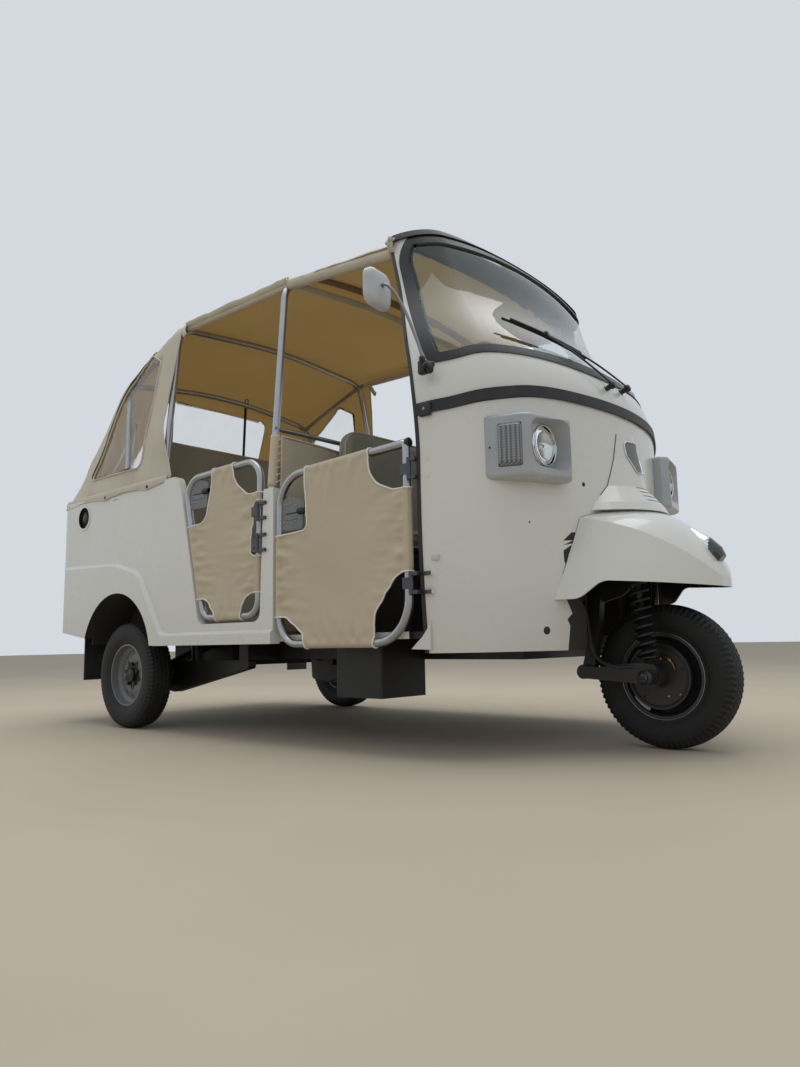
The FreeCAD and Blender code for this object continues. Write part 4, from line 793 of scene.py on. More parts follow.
def canopy_skin(offset=0.0):
    """The whole uncut canopy as points, quads and outward normals, moved out by offset."""
    points = []
    stations = canopy_stations()
    for x in stations:
        for p in canopy_ring(x):
            px = x
            if x > FRONT_LEAN_X:
                share = (x - FRONT_LEAN_X) / (stations[-1] - FRONT_LEAN_X)
                px = FRONT_LEAN_X + (front_edge_x(p.y) - FRONT_LEAN_X) * share
            out = roof_outward(p) * (offset + creased(px, p.x, p.y))
            points.append((px, p.x + out.x, p.y + out.y))
    across = len(points) // len(stations)
    faces = flipped(grid_faces(len(stations), across))
    return points, *facing(points, faces, across // 2 + across * 40, (0, 0, 1))


def cutter(outline, radii, along, low, high):
    """A closed cutter from a plane outline pushed along x or y."""
    line = rounded(outline, radii, 12.0)
    ends = [[(d, p.x, p.y) if along == "x" else (p.x, d, p.y) for p in line] for d in (low, high)]
    points, faces = prism(*ends)
    mesh = bpy.data.meshes.new("cutter")
    mesh.from_pydata([at(*p) for p in points], [], faces)
    made = bpy.data.objects.new("cutter", mesh)
    bpy.context.scene.collection.objects.link(made)
    tidy_normals(made)
    return made


def carve(made, cutters, operation="DIFFERENCE"):
    """Cuts the piece with each cutter and drops the cutters."""
    for tool in cutters:
        cut = made.modifiers.new("cut", "BOOLEAN")
        cut.operation = operation
        cut.solver = "EXACT"
        cut.object = tool
    bpy.context.view_layer.update()
    graph = bpy.context.evaluated_depsgraph_get()
    mesh = bpy.data.meshes.new_from_object(made.evaluated_get(graph))
    made.modifiers.clear()
    made.data = mesh
    for tool in cutters:
        bpy.data.objects.remove(tool)


def make_canopy():
    points, faces, normals = canopy_skin()
    cover = piece("canopy_cover", *shell_of(points, faces, normals, CANOPY_T), CANVAS, "chassis", "canvas")
    cover.data.materials.append(CANVAS_INSIDE)
    for polygon in cover.data.polygons:
        polygon.material_index = 1 if len(faces) <= polygon.index < 2 * len(faces) else 0
    carve(cover, [cutter(*cut) for cut in WINDOW_CUTS + SIDE_CUTS])
    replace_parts(cover, "canopy")
    trims = make_canopy_trims()


def make_canopy_films():
    """The clear windows: thin film that follows the canvas and tucks under it, with its own slack waves."""
    points, faces, normals = canopy_skin(-FILM_DEPTH)
    films = []
    for cut, (name, flat) in zip(WINDOW_CUTS, FILMS):
        film = piece(name, *shell_of(points, faces, normals, FILM_T), FILM, "chassis", "clear_film")
        tool = cutter(*cut)
        corners = tool.data.vertices
        centre = sum((v.co for v in corners), Vector()) / len(corners)
        for v in corners:
            v.co = centre + (v.co - centre) * FILM_TUCK
        carve(film, [tool], "INTERSECT")
        films.append(film)
    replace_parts(films[0], "canopy_windows")


# Trims on the canopy
QUARTER_EDGE = ((262.0, 1824.0), (222.0, 1350.0), (352.0, 1089.0))
ZIP_OFFSETS = (13.0, 24.0)
REAR_FLAP = ((-655.0, RIM_Z + 2), (655.0, RIM_Z + 2), (640.0, 1143.0), (0.0, 1160.0), (-640.0, 1143.0))
SKIRT_ROWS, SKIRT_LOW_Z, SKIRT_TOP_Z, SKIRT_BEND_Z = 6, 1050.0, 1098.0, 1084.0


def on_canopy(x, z, sign=1, stand=2.0):
    """A point of the canopy's side at x and z, standing off the canvas; sign 1 is the right side."""
    ring = canopy_ring(x)
    line = ring[:len(ring) // 2 + 1]
    for a, b in zip(line, line[1:]):
        if a.y <= z <= b.y or b is line[-1]:
            t = min(1.0, max(0.0, (z - a.y) / max(1e-6, b.y - a.y)))
            p = a.lerp(b, t)
            break
    out = roof_outward(p) * (stand + creased(x, sign * p.x, p.y))
    return Vector((x, sign * (p.x + out.x), p.y + out.y))


def on_rear_slope(y, z, stand=2.0):
    """A point of the canopy's sloping rear face at y and z."""
    def height(x):
        ring = canopy_ring(x)
        line = ring[:len(ring) // 2 + 1]
        for a, b in zip(line, line[1:]):
            if a.x <= -abs(y) <= b.x and a.y > 1100:
                return a.lerp(b, (-abs(y) - a.x) / max(1e-6, b.x - a.x)).y
        return line[-1].y

    low, high = -662.0, -240.0
    for _ in range(24):
        middle = (low + high) / 2
        if height(middle) < z:
            low = middle
        else:
            high = middle
    return Vector((low - stand * 0.8, y, z + stand * 0.6))


def edge_height(x):
    """Height of the roof's side edge."""
    return canopy_row(x)[2] - EDGE_DROP


def roof_rail_z(x):
    """Height of the side rail between the main hoop and the front one."""
    return 1826.0 + (1803.0 - 1826.0) * (x - 206.0) / (975.0 - 206.0)


def make_roof_bands(hems, light, sign):
    """Rolled canvas round the rails, and the pale strip and hems along the roof's side edge."""
    rail = []
    for k in range(46):
        t = k / 45
        x = 992 + 548 * t
        y = -sign * (589 - 26 * t + 2.5 * waver(x * 0.02, sign, 1))
        rail.append((x, y, 1803 - 51 * t + 2 * waver(x * 0.015, sign, 7)))
    hems.add(tube_along, rail, 22.0, sides=20, flat=0.85, up=(0, 1, 0))
    thin = [on_canopy(x, edge_height(x) + 5, sign, 1.0) for x in range(270, 1000, 18)]
    hems.add(tube_along, thin, 13.0, sides=14, flat=0.42, up=(0, sign, 0.3))
    sleeve = [(x, -sign * 585.0, roof_rail_z(x) + 1.5 * waver(x * 0.02, sign, 3))
              for x in range(262, 994, 14)]
    hems.add(tube_along, sleeve, 15.0, sides=16)
    strip = [on_canopy(x, edge_height(x) + 19, sign, 2.6) for x in range(300, 985, 18)]
    light.add(tube_along, strip, 8.0, flat=0.18, up=(0, sign, 0.5))
    front = [on_canopy(p.x, p.y, sign, 1.0) for p in rounded(QUARTER_EDGE, (0, 120, 0), 12.0, closed=False)]
    light.add(tube_along, front, 6.5, flat=0.5, up=(0, sign, 0))
    low = [on_canopy(x, RIM_Z + 10, sign) for x in range(-560, 352, 14)]
    hems.add(tube_along, low, 11.0, finish=HEM_CANVAS, flat=0.3, up=(0, sign, 0))


def make_rim_skirt(hems, light, sign):
    """The loose skirt over the tub's rim, scalloped between its snaps and piped along its foot."""
    points, foot = [], []
    stations = range(-636, 353, 9)
    for x in stations:
        scallop = abs(math.sin(math.pi * (x + 190) / 375.0)) ** 0.8
        low = SKIRT_LOW_Z + 15.0 * scallop + 3 * waver(x * 0.02, sign, 6)
        reach = canopy_row(x)[0] + 7.0
        for k in range(SKIRT_ROWS):
            t = k / (SKIRT_ROWS - 1)
            z = low + (SKIRT_TOP_Z - low) * t
            wave = 3.0 * waver(x * 0.03, z * 0.01, sign + 8) * (1 - t)
            y = reach + 1.5 + max(0.0, wave) if z < SKIRT_BEND_Z else reach - 4.0 * (z - SKIRT_BEND_Z) / 14
            points.append((x, -sign * y, z))
        foot.append(Vector(points[-SKIRT_ROWS]) + Vector((0, -sign * 0.5, 3)))
    faces = grid_faces(len(stations), SKIRT_ROWS)
    made = hems.add(piece, *shell_of(points, faces, [Vector((0, -sign, 0))] * len(points), 1.8))
    tidy_normals(made)
    light.add(tube_along, foot, 3.0, sides=8)


def make_quarter_trims(light, dark, sign):
    """Piping round the quarter window and two zips behind and above it."""
    outline = rounded(QUARTER_WINDOW, QUARTER_RADII, 9.0)
    light.add(tube_along, [on_canopy(p.x, p.y, sign, 1.8) for p in outline], 4.0, closed=True, sides=8)
    for grow in ZIP_OFFSETS:
        run = []
        for i, p in enumerate(outline):
            ahead = (outline[(i + 1) % len(outline)] - outline[i - 1]).normalized()
            outward = Vector((ahead.y, -ahead.x))
            q = p + outward * grow
            if inside(q, outline):
                q = p - outward * grow
            if q.x < 20 and q.y > 1195:
                run.append(q)
        run.sort(key=lambda q: q.x)
        dark.add(tube_along, [on_canopy(q.x, q.y, sign, 1.6) for q in run], 3.6, sides=6)


def make_roof_fastenings(hems, studs, sign):
    """Snaps on the rim, the roof's buckle, and the tied front corner."""
    for x in (-560, -185, 190):
        studs.add(stud, (x, -sign * (canopy_row(x)[0] + 9.0), 1066), (0, -sign, 0.1), 8.0, 3.4)
    studs.add(block, (11, 2.4, 8), 2.0, on_canopy(600.0, edge_height(600.0) + 26, sign, 3.0), finish=ZINC)
    tie = []
    for k in range(60):
        a = 2 * math.pi * k / 12
        x = 1546 + 7 * math.sin(a * 0.37) + k * 0.2
        tie.append((x, -sign * (572 + 27 * math.cos(a)), 1768 + 26 * math.sin(a)))
    hems.add(tube_along, tie, 4.6, finish=HEM_CANVAS, sides=8)
    for k in range(5):
        a = math.radians(40 + 60 * k)
        knot = (1552 + 9 * math.cos(a), -sign * (598 + 5 * math.sin(2 * a)), 1779 + 10 * math.sin(a))
        hems.add(block, (10, 7, 8), 6.5, knot, finish=HEM_CANVAS, turn=a, axis="Y")
    flap = [on_canopy(268 + 8 * k, 1828 - 26 * k + 3 * k * k, sign) for k in range(5)]
    hems.add(tube_along, flap, 13.0, sides=12, flat=0.3, up=(0, sign, 0))


def make_rear_flap(hems):
    """The flat flap that closes the foot of the rear slope."""
    flat, faces, _ = net(rounded(REAR_FLAP, (0, 0, 30, 0, 30), 16.0), 18.0)
    points = [(TUB_REAR_X + 12.0 + 1.5 * waver(y * 0.02, z * 0.02, 4), y, z) for y, z in flat]
    made = hems.add(piece, *shell_of(points, faces, [Vector((-1, 0, 0))] * len(points), CANOPY_T))
    tidy_normals(made)


def make_canopy_trims():
    hems, light = Group("canopy_hems", CANVAS), Group("canopy_piping", HEM_CANVAS)
    dark, studs = Group("canopy_zips", BLACK_STRAP), Group("canopy_studs", DARK_IRON)
    for _, sign in SIDES:
        make_roof_bands(hems, light, sign)
        make_rim_skirt(hems, light, sign)
        make_quarter_trims(light, dark, sign)
        make_roof_fastenings(hems, studs, sign)
    batten = [(1062.0, p.x * 0.985, p.y - 11.0) for p in canopy_ring(1062.0, RIM_Z)[33:-33]]
    studs.add(tube_along, batten, 27.0, finish=SLEEVE_BROWN, sides=12, flat=0.14, up=(0, 0, 1))
    window = [on_rear_slope(p.x, p.y) for p in rounded(REAR_WINDOW, REAR_RADII, 14.0)]
    light.add(tube_along, window, 3.4, finish=PIPING, closed=True, sides=8)
    back = [(TUB_REAR_X + 9.0, y, RIM_Z + 8) for y in range(-640, 641, 20)]
    hems.add(tube_along, back, 11.0, finish=HEM_CANVAS, flat=0.3, up=(1, 0, 0))
    for y in (-520, -260, 0, 260, 520):
        studs.add(stud, (TUB_REAR_X + 7.0, y, 1096.0), (-1, 0, 0), 8.0, 4.0)
    make_rear_flap(hems)
    return [group.join() for group in (hems, light, dark, studs)]


# Webbing inside the rear of the canopy: routes as x, y outward and z
WEBBING_RUNS = (((-262.0, 574.0, 1600.0), (-205.0, 582.0, 1470.0), (-113.0, 640.0, 1330.0),
                 (-100.0, 652.0, 1262.0)),
                ((-175.0, 600.0, 1438.0), (-270.0, 612.0, 1300.0), (-330.0, 640.0, 1190.0)))
# rows: y and height of the loop that a hanging strap is tied to
HANGING_STRAPS = ((-334.0, 1722.0), (137.0, 1742.0))


def make_straps():
    white, black = Group("canopy_webbing", WEBBING), Group("window_straps", BLACK_STRAP)
    for _, sign in SIDES:
        for run in WEBBING_RUNS:
            line = rounded_path([(x, -sign * y, z) for x, y, z in run], 40.0)
            white.add(tube_along, line, 12.0, flat=0.12, up=(0, 1, 0))
        white.add(block, (10, 4, 14), 2.5, (-185.0, -sign * 588.0, 1442.0), finish=ZINC, turn=0.4, axis="Y")
    for y, high in HANGING_STRAPS:
        line = [(-262.0 - 26 * t, y + 6 * t, high - 18 - 306 * t) for t in (i / 12 for i in range(13))]
        black.add(tube_along, line, 9.0, sides=8, flat=0.15, up=(1, 0, 0))
        loop = [(-255 + u, y, high + v) for u, v in circle(16.5, 16)]
        black.add(tube_along, loop, 2.4, closed=True, sides=8)
    white.join()
    black.join()


# Doors: centre lines of the tube frames as x, z, anticlockwise seen from the right side
DRIVER_TUBES = ((1100.0, 360.0), (1724.0, 360.0), (1724.0, 988.0), (1100.0, 968.0))
PASSENGER_TUBES = ((625.0, 470.0), (975.0, 470.0), (986.0, 1060.0), (478.0, 1050.0))
# rows: points of one cut-out of the canvas with their radii, in order round the canvas
DRIVER_CUTS = (
    (((1564.0, 996.0), (1574.0, 885.0), (1674.0, 842.0), (1738.0, 842.0)), (0, 90, 40, 0)),
    (((1738.0, 578.0), (1694.0, 578.0), (1589.0, 455.0), (1576.0, 346.0)), (0, 60, 90, 0)),
    (((1248.0, 346.0), (1248.0, 390.0), (1150.0, 456.0), (1086.0, 456.0)), (0, 40, 40, 0)),
    (((1086.0, 748.0), (1264.0, 758.0), (1253.0, 987.0)), (0, 26, 0)),
)
PASSENGER_CUTS = (
    (((822.0, 1070.0), (840.0, 990.0), (920.0, 930.0), (997.0, 930.0)), (0, 70, 50, 0)),
    (((997.0, 900.0), (954.0, 900.0), (954.0, 690.0), (993.0, 690.0)), (0, 16, 16, 0)),
    (((991.0, 554.0), (930.0, 554.0), (880.0, 489.0), (880.0, 456.0)), (0, 50, 50, 0)),
    (((720.0, 456.0), (720.0, 479.0), (660.0, 544.0), (592.0, 544.0)), (0, 30, 50, 0)),
    (((514.0, 845.0), (650.0, 850.0), (690.0, 1010.0), (690.0, 1068.0)), (0, 60, 90, 0)),
)
# rows: door, tubes, cut-outs, flat size in metres, seed of the creases
DOOR_SHEETS = (("driver_door", DRIVER_TUBES, DRIVER_CUTS, (0.75, 0.75), 3.0),
               ("passenger_door", PASSENGER_TUBES, PASSENGER_CUTS, (0.62, 0.74), 11.0))
CANVAS_R = TUBE_R + 2.6
CANVAS_SKIN = 1.4
PIPING_R = 3.2
SHORT_EDGE = 60


def tube_lines(tubes):
    """Start and direction of each tube's centre line."""
    ends = [Vector(p) for p in tubes]
    return [(a, (b - a).normalized()) for a, b in zip(ends, ends[1:] + ends[:1])]


def edge_distances(p, tubes):
    """Signed distance outside each tube's centre line."""
    return [(p - a).x * along.y - (p - a).y * along.x for a, along in tube_lines(tubes)]


def nearest_tube(p, tubes):
    distances = edge_distances(p, tubes)
    i = min(range(len(tubes)), key=lambda k: abs(distances[k] - TUBE_R))
    return tube_lines(tubes)[i]


def canvas_depth(p, tubes, seed):
    """How far the canvas stands outward of the tubes' plane at a point of the door."""
    distances = edge_distances(p, tubes)
    furthest = max(distances)
    if furthest > 0:
        return math.sqrt(max(CANVAS_R ** 2 - furthest ** 2, 4.0))
    stand = CANVAS_R
    for i, d in enumerate(distances):
        inward = -d
        along = p.x if i % 2 == 0 else p.y
        if inward < 220:
            seam = max(0.0, 1 - abs(inward - 20) / 14)
            stitch = waver(along * 0.075, seed + i)
            pull = waver(along * 0.042, inward * 0.009, seed + 9 * i)
            gather = waver(along * 0.021 + inward * 0.012, inward * 0.005, seed + 31 * i)
            strength = 1.0 if i % 2 else 0.55
            stand += strength * stitch * 3.6 * math.exp(-abs(inward - 20) / 16) - seam * 1.2
            stand += strength * (pull * 19.0 + gather * 14.0) * math.exp(-inward / 62) * min(1.0, inward / 16)
    belly = min(1.0, -furthest / 160)
    return stand + belly * (9.0 * waver(p.x * 0.006 + p.y * 0.002, p.y * 0.004, seed) - 3.5)


def round_the_tube(near, tubes, sign):
    """The end of a cut-out's piping, from the canvas round its tube to the inside of the door."""
    start, along = nearest_tube(near, tubes)
    foot = start + along * (near - start).dot(along)
    turn = []
    for k in range(4, 9):
        a = math.radians(12 + 170 * k / 8)
        q = foot + Vector((along.y, -along.x)) * (CANVAS_R * math.sin(a) if k < 8 else 0)
        turn.append((q.x, sign * (DOOR_Y - CANVAS_R * math.cos(a)), q.y))
    return turn


def door_canvas(door, side, sign, tubes, cuts, seed):
    """The canvas of one door, the piping of its cut-outs and its sleeves round the tubes."""
    body = f"{door}_{side}"
    runs = [rounded(points, radii, 7.0, closed=False) for points, radii in cuts]
    edges = [(run[-1], after[0]) for run, after in zip(runs, runs[1:] + runs[:1])]
    outline = []
    for run, edge in zip(runs, edges):
        outline += run + rounded(edge, (0, 0), 9.0, closed=False)[1:-1]
    flat, faces, _ = net(outline, 8.5)
    points = [(x, sign * (DOOR_Y - canvas_depth(Vector((x, z)), tubes, seed)), z) for x, z in flat]
    faces, normals = facing(points, faces, len(points) // 2, (0, -sign, 0))
    skin = shell_of(points, faces, normals, CANVAS_SKIN)
    sheet = piece(f"{door}_canvas_sheet_{side}", *skin, DOOR_CANVAS, body, "door_canvas")
    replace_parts(sheet, f"{door}_canvas_{side}")
    sleeves = Group(f"{door}_canvas_sleeves_{side}", DOOR_CANVAS, body, "door_canvas")
    for a, b in edges:
        if (b - a).length < SHORT_EDGE:
            continue
        count = max(3, int((b - a).length / 14))
        start, along = nearest_tube((a + b) / 2, tubes)
        a, b = (start + along * (q - start).dot(along) for q in (a, b))
        route = [a.lerp(b, k / count) for k in range(count + 1)]
        sleeves.add(tube_along, [(q.x, sign * DOOR_Y, q.y) for q in route], CANVAS_R - 0.8, sides=20)
    piping = Group(f"{door}_canvas_piping_{side}", PIPING, body, "door_canvas")
    for run in runs:
        depths = [canvas_depth(q, tubes, seed) + CANVAS_SKIN * 0.4 - 0.5 for q in run]
        route = [(q.x, sign * (DOOR_Y - depth), q.y) for q, depth in zip(run, depths)]
        before, after = (round_the_tube(q, tubes, sign) for q in (run[0], run[-1]))
        piping.add(tube_along, before[::-1] + route + after, PIPING_R, sides=8)
    return sheet, piping.join(), sleeves.join()


def make_door_canvases():
    for side, sign in SIDES:
        for door, tubes, cuts, flat, seed in DOOR_SHEETS:
            sheet, trim, covers = door_canvas(door, side, sign, tubes, cuts, seed + (0 if sign > 0 else 5))
            area = skin_area(sheet) + 2 * skin_area(covers)


# Partition behind the driver, piped at its top edge and laced round the posts
PARTITION_X, PARTITION_HALF, PARTITION_LOW_Z, PARTITION_HIGH_Z = 1061.5, BODY_HALF - 35, 396.0, 930.0
POST_LOW = Vector((1047.0, 13 - BODY_HALF, 923.0))
POST_HIGH = Vector((975.0, -597.0, 1817.0))
POST_SLEEVE_LOW_Z, POST_SLEEVE_H = 944, 204


def partition_point(y, z, stand=0.0):
    """A point of the slack partition, drawn to its laced sides."""
    edge = PARTITION_HALF - abs(y)
    lace = 4.5 * waver(z * 0.05, edge * 0.012, 2) * math.exp(-edge / 45)
    fold = 3.2 * math.sin(y * 0.011 + z * 0.009 + 2 * waver(y * 0.004, z * 0.004, 1))
    slack = fold * min(1.0, edge / 80) * min(1.0, (z - PARTITION_LOW_Z) / 120)
    return (PARTITION_X + 3 + lace + slack + stand, y, z)


def on_post(z, sign):
    p = POST_LOW.lerp(POST_HIGH, (z - POST_LOW.z) / (POST_HIGH.z - POST_LOW.z))
    return Vector((p.x, sign * p.y, p.z))


def make_partition():
    side_y = PARTITION_HALF - 6
    corners = [(-side_y, PARTITION_HIGH_Z), (-side_y, PARTITION_LOW_Z), (side_y, PARTITION_LOW_Z),
               (side_y, PARTITION_HIGH_Z)]
    top = []
    for k in range(41):
        y = 690.0 - 1380.0 * k / 40
        top.append((y, 1140.0 - 30.0 * math.cos(math.pi * y / 1380.0) ** 2))
    outline = rounded(corners, (0, 0, 0, 0), 16.0, closed=False) + [Vector(p) for p in top]
    flat, faces, _ = net(outline, 17.0)
    points = [partition_point(y, z) for y, z in flat]
    faces, normals = facing(points, faces, len(points) // 2, (1, 0, 0))
    skin = shell_of(points, faces, normals, 1.6)
    sheet = piece("partition_canvas", *skin, DOOR_CANVAS, "chassis", "door_canvas")
    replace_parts(sheet, "partition")
    seams = Group("partition_piping", PIPING, slot="door_canvas")
    wraps = Group("partition_sleeves", DOOR_CANVAS, slot="door_canvas")
    seams.add(tube_along, [partition_point(y, z, 1) for y, z in top], 4.0, finish=HEM_CANVAS, sides=8)
    for _, sign in SIDES:
        shares = [k / 16 for k in range(17)]
        route = [on_post(POST_SLEEVE_LOW_Z + POST_SLEEVE_H * t, sign) for t in shares]
        wraps.add(tube_along, route, TUBE_R + 4.0, sides=20)
        seam_line = [p + Vector((17, sign * 26 + sign * 6 * t, 0)) for p, t in zip(route, shares)]
        seams.add(tube_along, seam_line, PIPING_R, sides=8)
        for k in range(7):
            p = on_post(958 + 28 * k, sign)
            offsets = ((TUBE_R + 5, 0, 0), (TUBE_R + 6, sign * 12, 7), (19, sign * 26, 14))
            wraps.add(tube_along, [p + Vector(offset) for offset in offsets], 1.6, finish=PIPING, sides=6)
    trims = [seams.join(), wraps.join()]


# Seats: rounded pads with crowned faces and piped edges
PAD_BACK = 0.9
PAD_EDGE_R, PAD_LIP, PAD_SWELL = 16, 26, 70
PAD_WALL_ROWS, PAD_BULGE, PAD_PIPING_R = 5, 6.0, 4.2
CHANNEL_DEPTH, CHANNEL_HALF, CHANNEL_END = 9, 9, 30


def leaning(x, lean, low, high):
    """Places a back rest: u across, v up, depth forward, leaning back towards its top."""
    return lambda u, v, depth: (x - lean * (v - low) / (high - low) + depth, u, v)


def lying(z):
    """Places a seat cushion: u forward, v across, depth up."""
    return lambda u, v, depth: (u, v, z + depth)


# rows: name, first and last u, first and last v, corner radii, place, thickness, crown, channels as axis and
# value, net step, node that the pad replaces
SEAT_PADS = (
    ("driver_seat_back", (-425.0, 425.0, 700.0, 1205.0), (30, 30, 85, 85),
     leaning(1146.0, 30.0, 680.0, 1208.0), 62.0, 5.0, (), 16.0, "driver_seat"),
    ("driver_seat_cushion", (1184.0, 1476.0, -415.0, 415.0), (40, 60, 60, 40), lying(724.0),
     80.0, 6.0, (), 16.0, None),
    ("passenger_seat_back", (-590.0, 590.0, 800.0, 1364.0), (30, 30, 70, 70),
     leaning(-26.0, 60.0, 700.0, 1368.0), 62.0, 5.0, ((0, -197.0), (0, 197.0)), 20.0, "passenger_seat"),
    ("passenger_seat_cushion", (16.0, 426.0, -592.0, 592.0), (40, 60, 60, 40), lying(751.0),
     90.0, 6.0, ((1, -197.0), (1, 197.0)), 20.0, None),
)


def pad_height(p, edge, thickness, crown, channels):
    """Height of a pad's face over its middle plane: a round lip, a crown and sewn channels."""
    d = min((Vector(p) - q).length for q in edge)
    lip = math.sqrt(max(0.0, 1 - (1 - min(1.0, d / PAD_LIP)) ** 2))
    height = thickness / 2 - PAD_EDGE_R + PAD_EDGE_R * lip + crown * (1 - math.exp(-d / PAD_SWELL))
    for axis, value in channels:
        across = abs(p[axis] - value) / CHANNEL_HALF
        height -= CHANNEL_DEPTH * math.exp(-across ** 2) * min(1.0, d / CHANNEL_END)
    return height + 2.2 * waver(p[0] * 0.012, p[1] * 0.012, thickness)


def make_pad(name, limits, radii, place, thickness, crown, channels, step, replaced):
    """A stuffed pad: both faces of a plane net and a swollen wall between their rims, with piped edges."""
    u0, u1, v0, v1 = limits
    flat, faces, rim = net(rounded(((u0, v0), (u1, v0), (u1, v1), (u0, v1)), radii, step), step)
    edge = [Vector(p) for p in flat[:rim]]
    heights = [pad_height(p, edge, thickness, crown, channels) for p in flat]
    count = len(flat)
    points = [place(u, v, h * share) for share in (1.0, -PAD_BACK) for (u, v), h in zip(flat, heights)]
    faces = faces + [tuple(count + i for i in f) for f in flipped(faces)]
    turned = sum(a.x * b.y - b.x * a.y for a, b in zip(edge, edge[1:] + edge[:1]))
    side = 1.0 if turned > 0 else -1.0
    rings = [0]
    for k in range(1, PAD_WALL_ROWS):
        t = k / PAD_WALL_ROWS
        rings.append(len(points))
        for i in range(rim):
            ahead = (edge[(i + 1) % rim] - edge[i - 1]).normalized()
            q = edge[i] + Vector((ahead.y, -ahead.x)) * (PAD_BULGE * math.sin(math.pi * t) * side)
            points.append(place(q.x, q.y, heights[i] * (1 - (1 + PAD_BACK) * t)))
    rings.append(count)
    for a, b in zip(rings, rings[1:]):
        faces += [(a + (i + 1) % rim, a + i, b + i, b + (i + 1) % rim) for i in range(rim)]
    made = piece(name, points, faces, SEAT_COVER, "chassis", "seat_cover")
    tidy_normals(made)
    for k, share in enumerate((1.0, -PAD_BACK)):
        route = [place(q.x, q.y, (h + 1.0) * share) for q, h in zip(edge, heights)]
        tube_along(f"{name}_piping_{k}", route, PAD_PIPING_R, SEAT_PIPING, "chassis", "seat_cover",
                   closed=True, sides=8)
    if replaced:
        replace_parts(made, replaced)


# Lamps on the front shell: the profiles are x and radius
LAMP_Y, LAMP_Z = -448.0, 965.0
BOWL = ((2038.0, 3.0), (2039.0, 16.0), (2043.0, 34.0), (2049.0, 48.0), (2056.0, 58.0), (2061.5, 63.4),
        (2061.5, 64.6), (2036.6, 64.6))
BULB = ((2038.5, 7.0), (2050.0, 7.0), (2055.0, 5.0), (2057.0, 2.0))
LENS_BACK_X, LENS_BACK_RADII = 2062.0, (0.4, 20.0, 45.0, 64.4)
LENS_TOP_X, LENS_R, LENS_FRONT_RADII = 2068.0, 190.0, (64.4, 60.0, 52.0, 42.0, 30.0, 16.0, 4.0, 0.4)
MARKER_X, MARKER_Y, MARKER_Z = 2016.0, -576.0, 956.0
MARKER_ANGLE = math.radians(20.3)
MARKER_HALF, MARKER_TALL = 37.6, 68.6
MARKER_RIBS, RIB_STEPS, MARKER_ROWS = 13, 6, 14


def marker_lens(name, sign, finish, body, slot):
    """A moulded lens with fine upright ribs and rounded corners, closed at its back."""
    c, s = math.cos(MARKER_ANGLE), math.sin(MARKER_ANGLE)

    def place(u, v, out):
        return (MARKER_X + u * c + (out + 1.0) * s, sign * (MARKER_Y + u * s - (out + 1.0) * c), MARKER_Z + v)

    columns = MARKER_RIBS * RIB_STEPS
    wide = columns + 1
    points = []
    for j in range(MARKER_ROWS + 1):
        v = -1 + 2 * j / MARKER_ROWS
        corner = max(0.0, abs(v) - 0.86) / 0.14
        width = MARKER_HALF - 7.0 * (1 - math.sqrt(max(0.0, 1 - corner ** 2)))
        for i in range(wide):
            u = -1 + 2 * i / columns
            lip = min(1.0, (1 - max(abs(u), abs(v))) / 0.09)
            rib = 1.1 * abs(math.sin(math.pi * i / RIB_STEPS)) if lip >= 1 else 0.0
            rise = 9.3 * math.sin(lip * math.pi / 2) ** 0.6 * 0.82 + rib
            points.append(place(u * width, v * MARKER_TALL, rise))
    faces = grid_faces(MARKER_ROWS + 1, wide)
    border = list(range(wide)) + [j * wide + columns for j in range(1, MARKER_ROWS + 1)]
    border += [MARKER_ROWS * wide + i for i in reversed(range(columns))]
    border += [j * wide for j in reversed(range(1, MARKER_ROWS))]
    back = [len(points) + k for k in range(len(border))]
    for i in border:
        u, v = i % wide / columns * 2 - 1, i // wide / MARKER_ROWS * 2 - 1
        points.append(place(u * MARKER_HALF * 0.99, v * MARKER_TALL * 0.99, -4.0))
    faces += [(b, a, p, q) for a, b, p, q in zip(border, border[1:] + border[:1], back, back[1:] + back[:1])]
    made = piece(name, points, faces + [tuple(back)], finish, body, slot)
    tidy_normals(made)
    return made


def make_lamps_on_shell():
    glasses = Group("headlamp_glass", LENS_GLASS, slot="lens")
    bowls = Group("headlamp_bowls", REFLECTOR, slot="chrome")
    rims = Group("headlamp_rims", CHROME, slot="chrome")
    lens = [(LENS_BACK_X, r) for r in LENS_BACK_RADII]
    lens += [(LENS_TOP_X - LENS_R + math.sqrt(LENS_R ** 2 - r ** 2), r) for r in LENS_FRONT_RADII]
    for _, sign in SIDES:
        centre = (0.0, sign * LAMP_Y, LAMP_Z)
        bowls.add(lathe, BOWL, centre, (1, 0, 0), sides=48)
        bowls.add(lathe, BULB, centre, (1, 0, 0), finish=LENS_GLASS, sides=16)
        glasses.add(lathe, lens, centre, (1, 0, 0), sides=48)
        ring = [(2063.5, sign * LAMP_Y + u, LAMP_Z + v) for u, v in circle(63.6, 64)]
        rims.add(tube_along, ring, 2.4, closed=True, sides=8)
        glasses.add(marker_lens, sign, finish=MARKER_LENS)
    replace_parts(glasses.join(), "headlamp_lenses")
    bowls.join()
    rims.join()


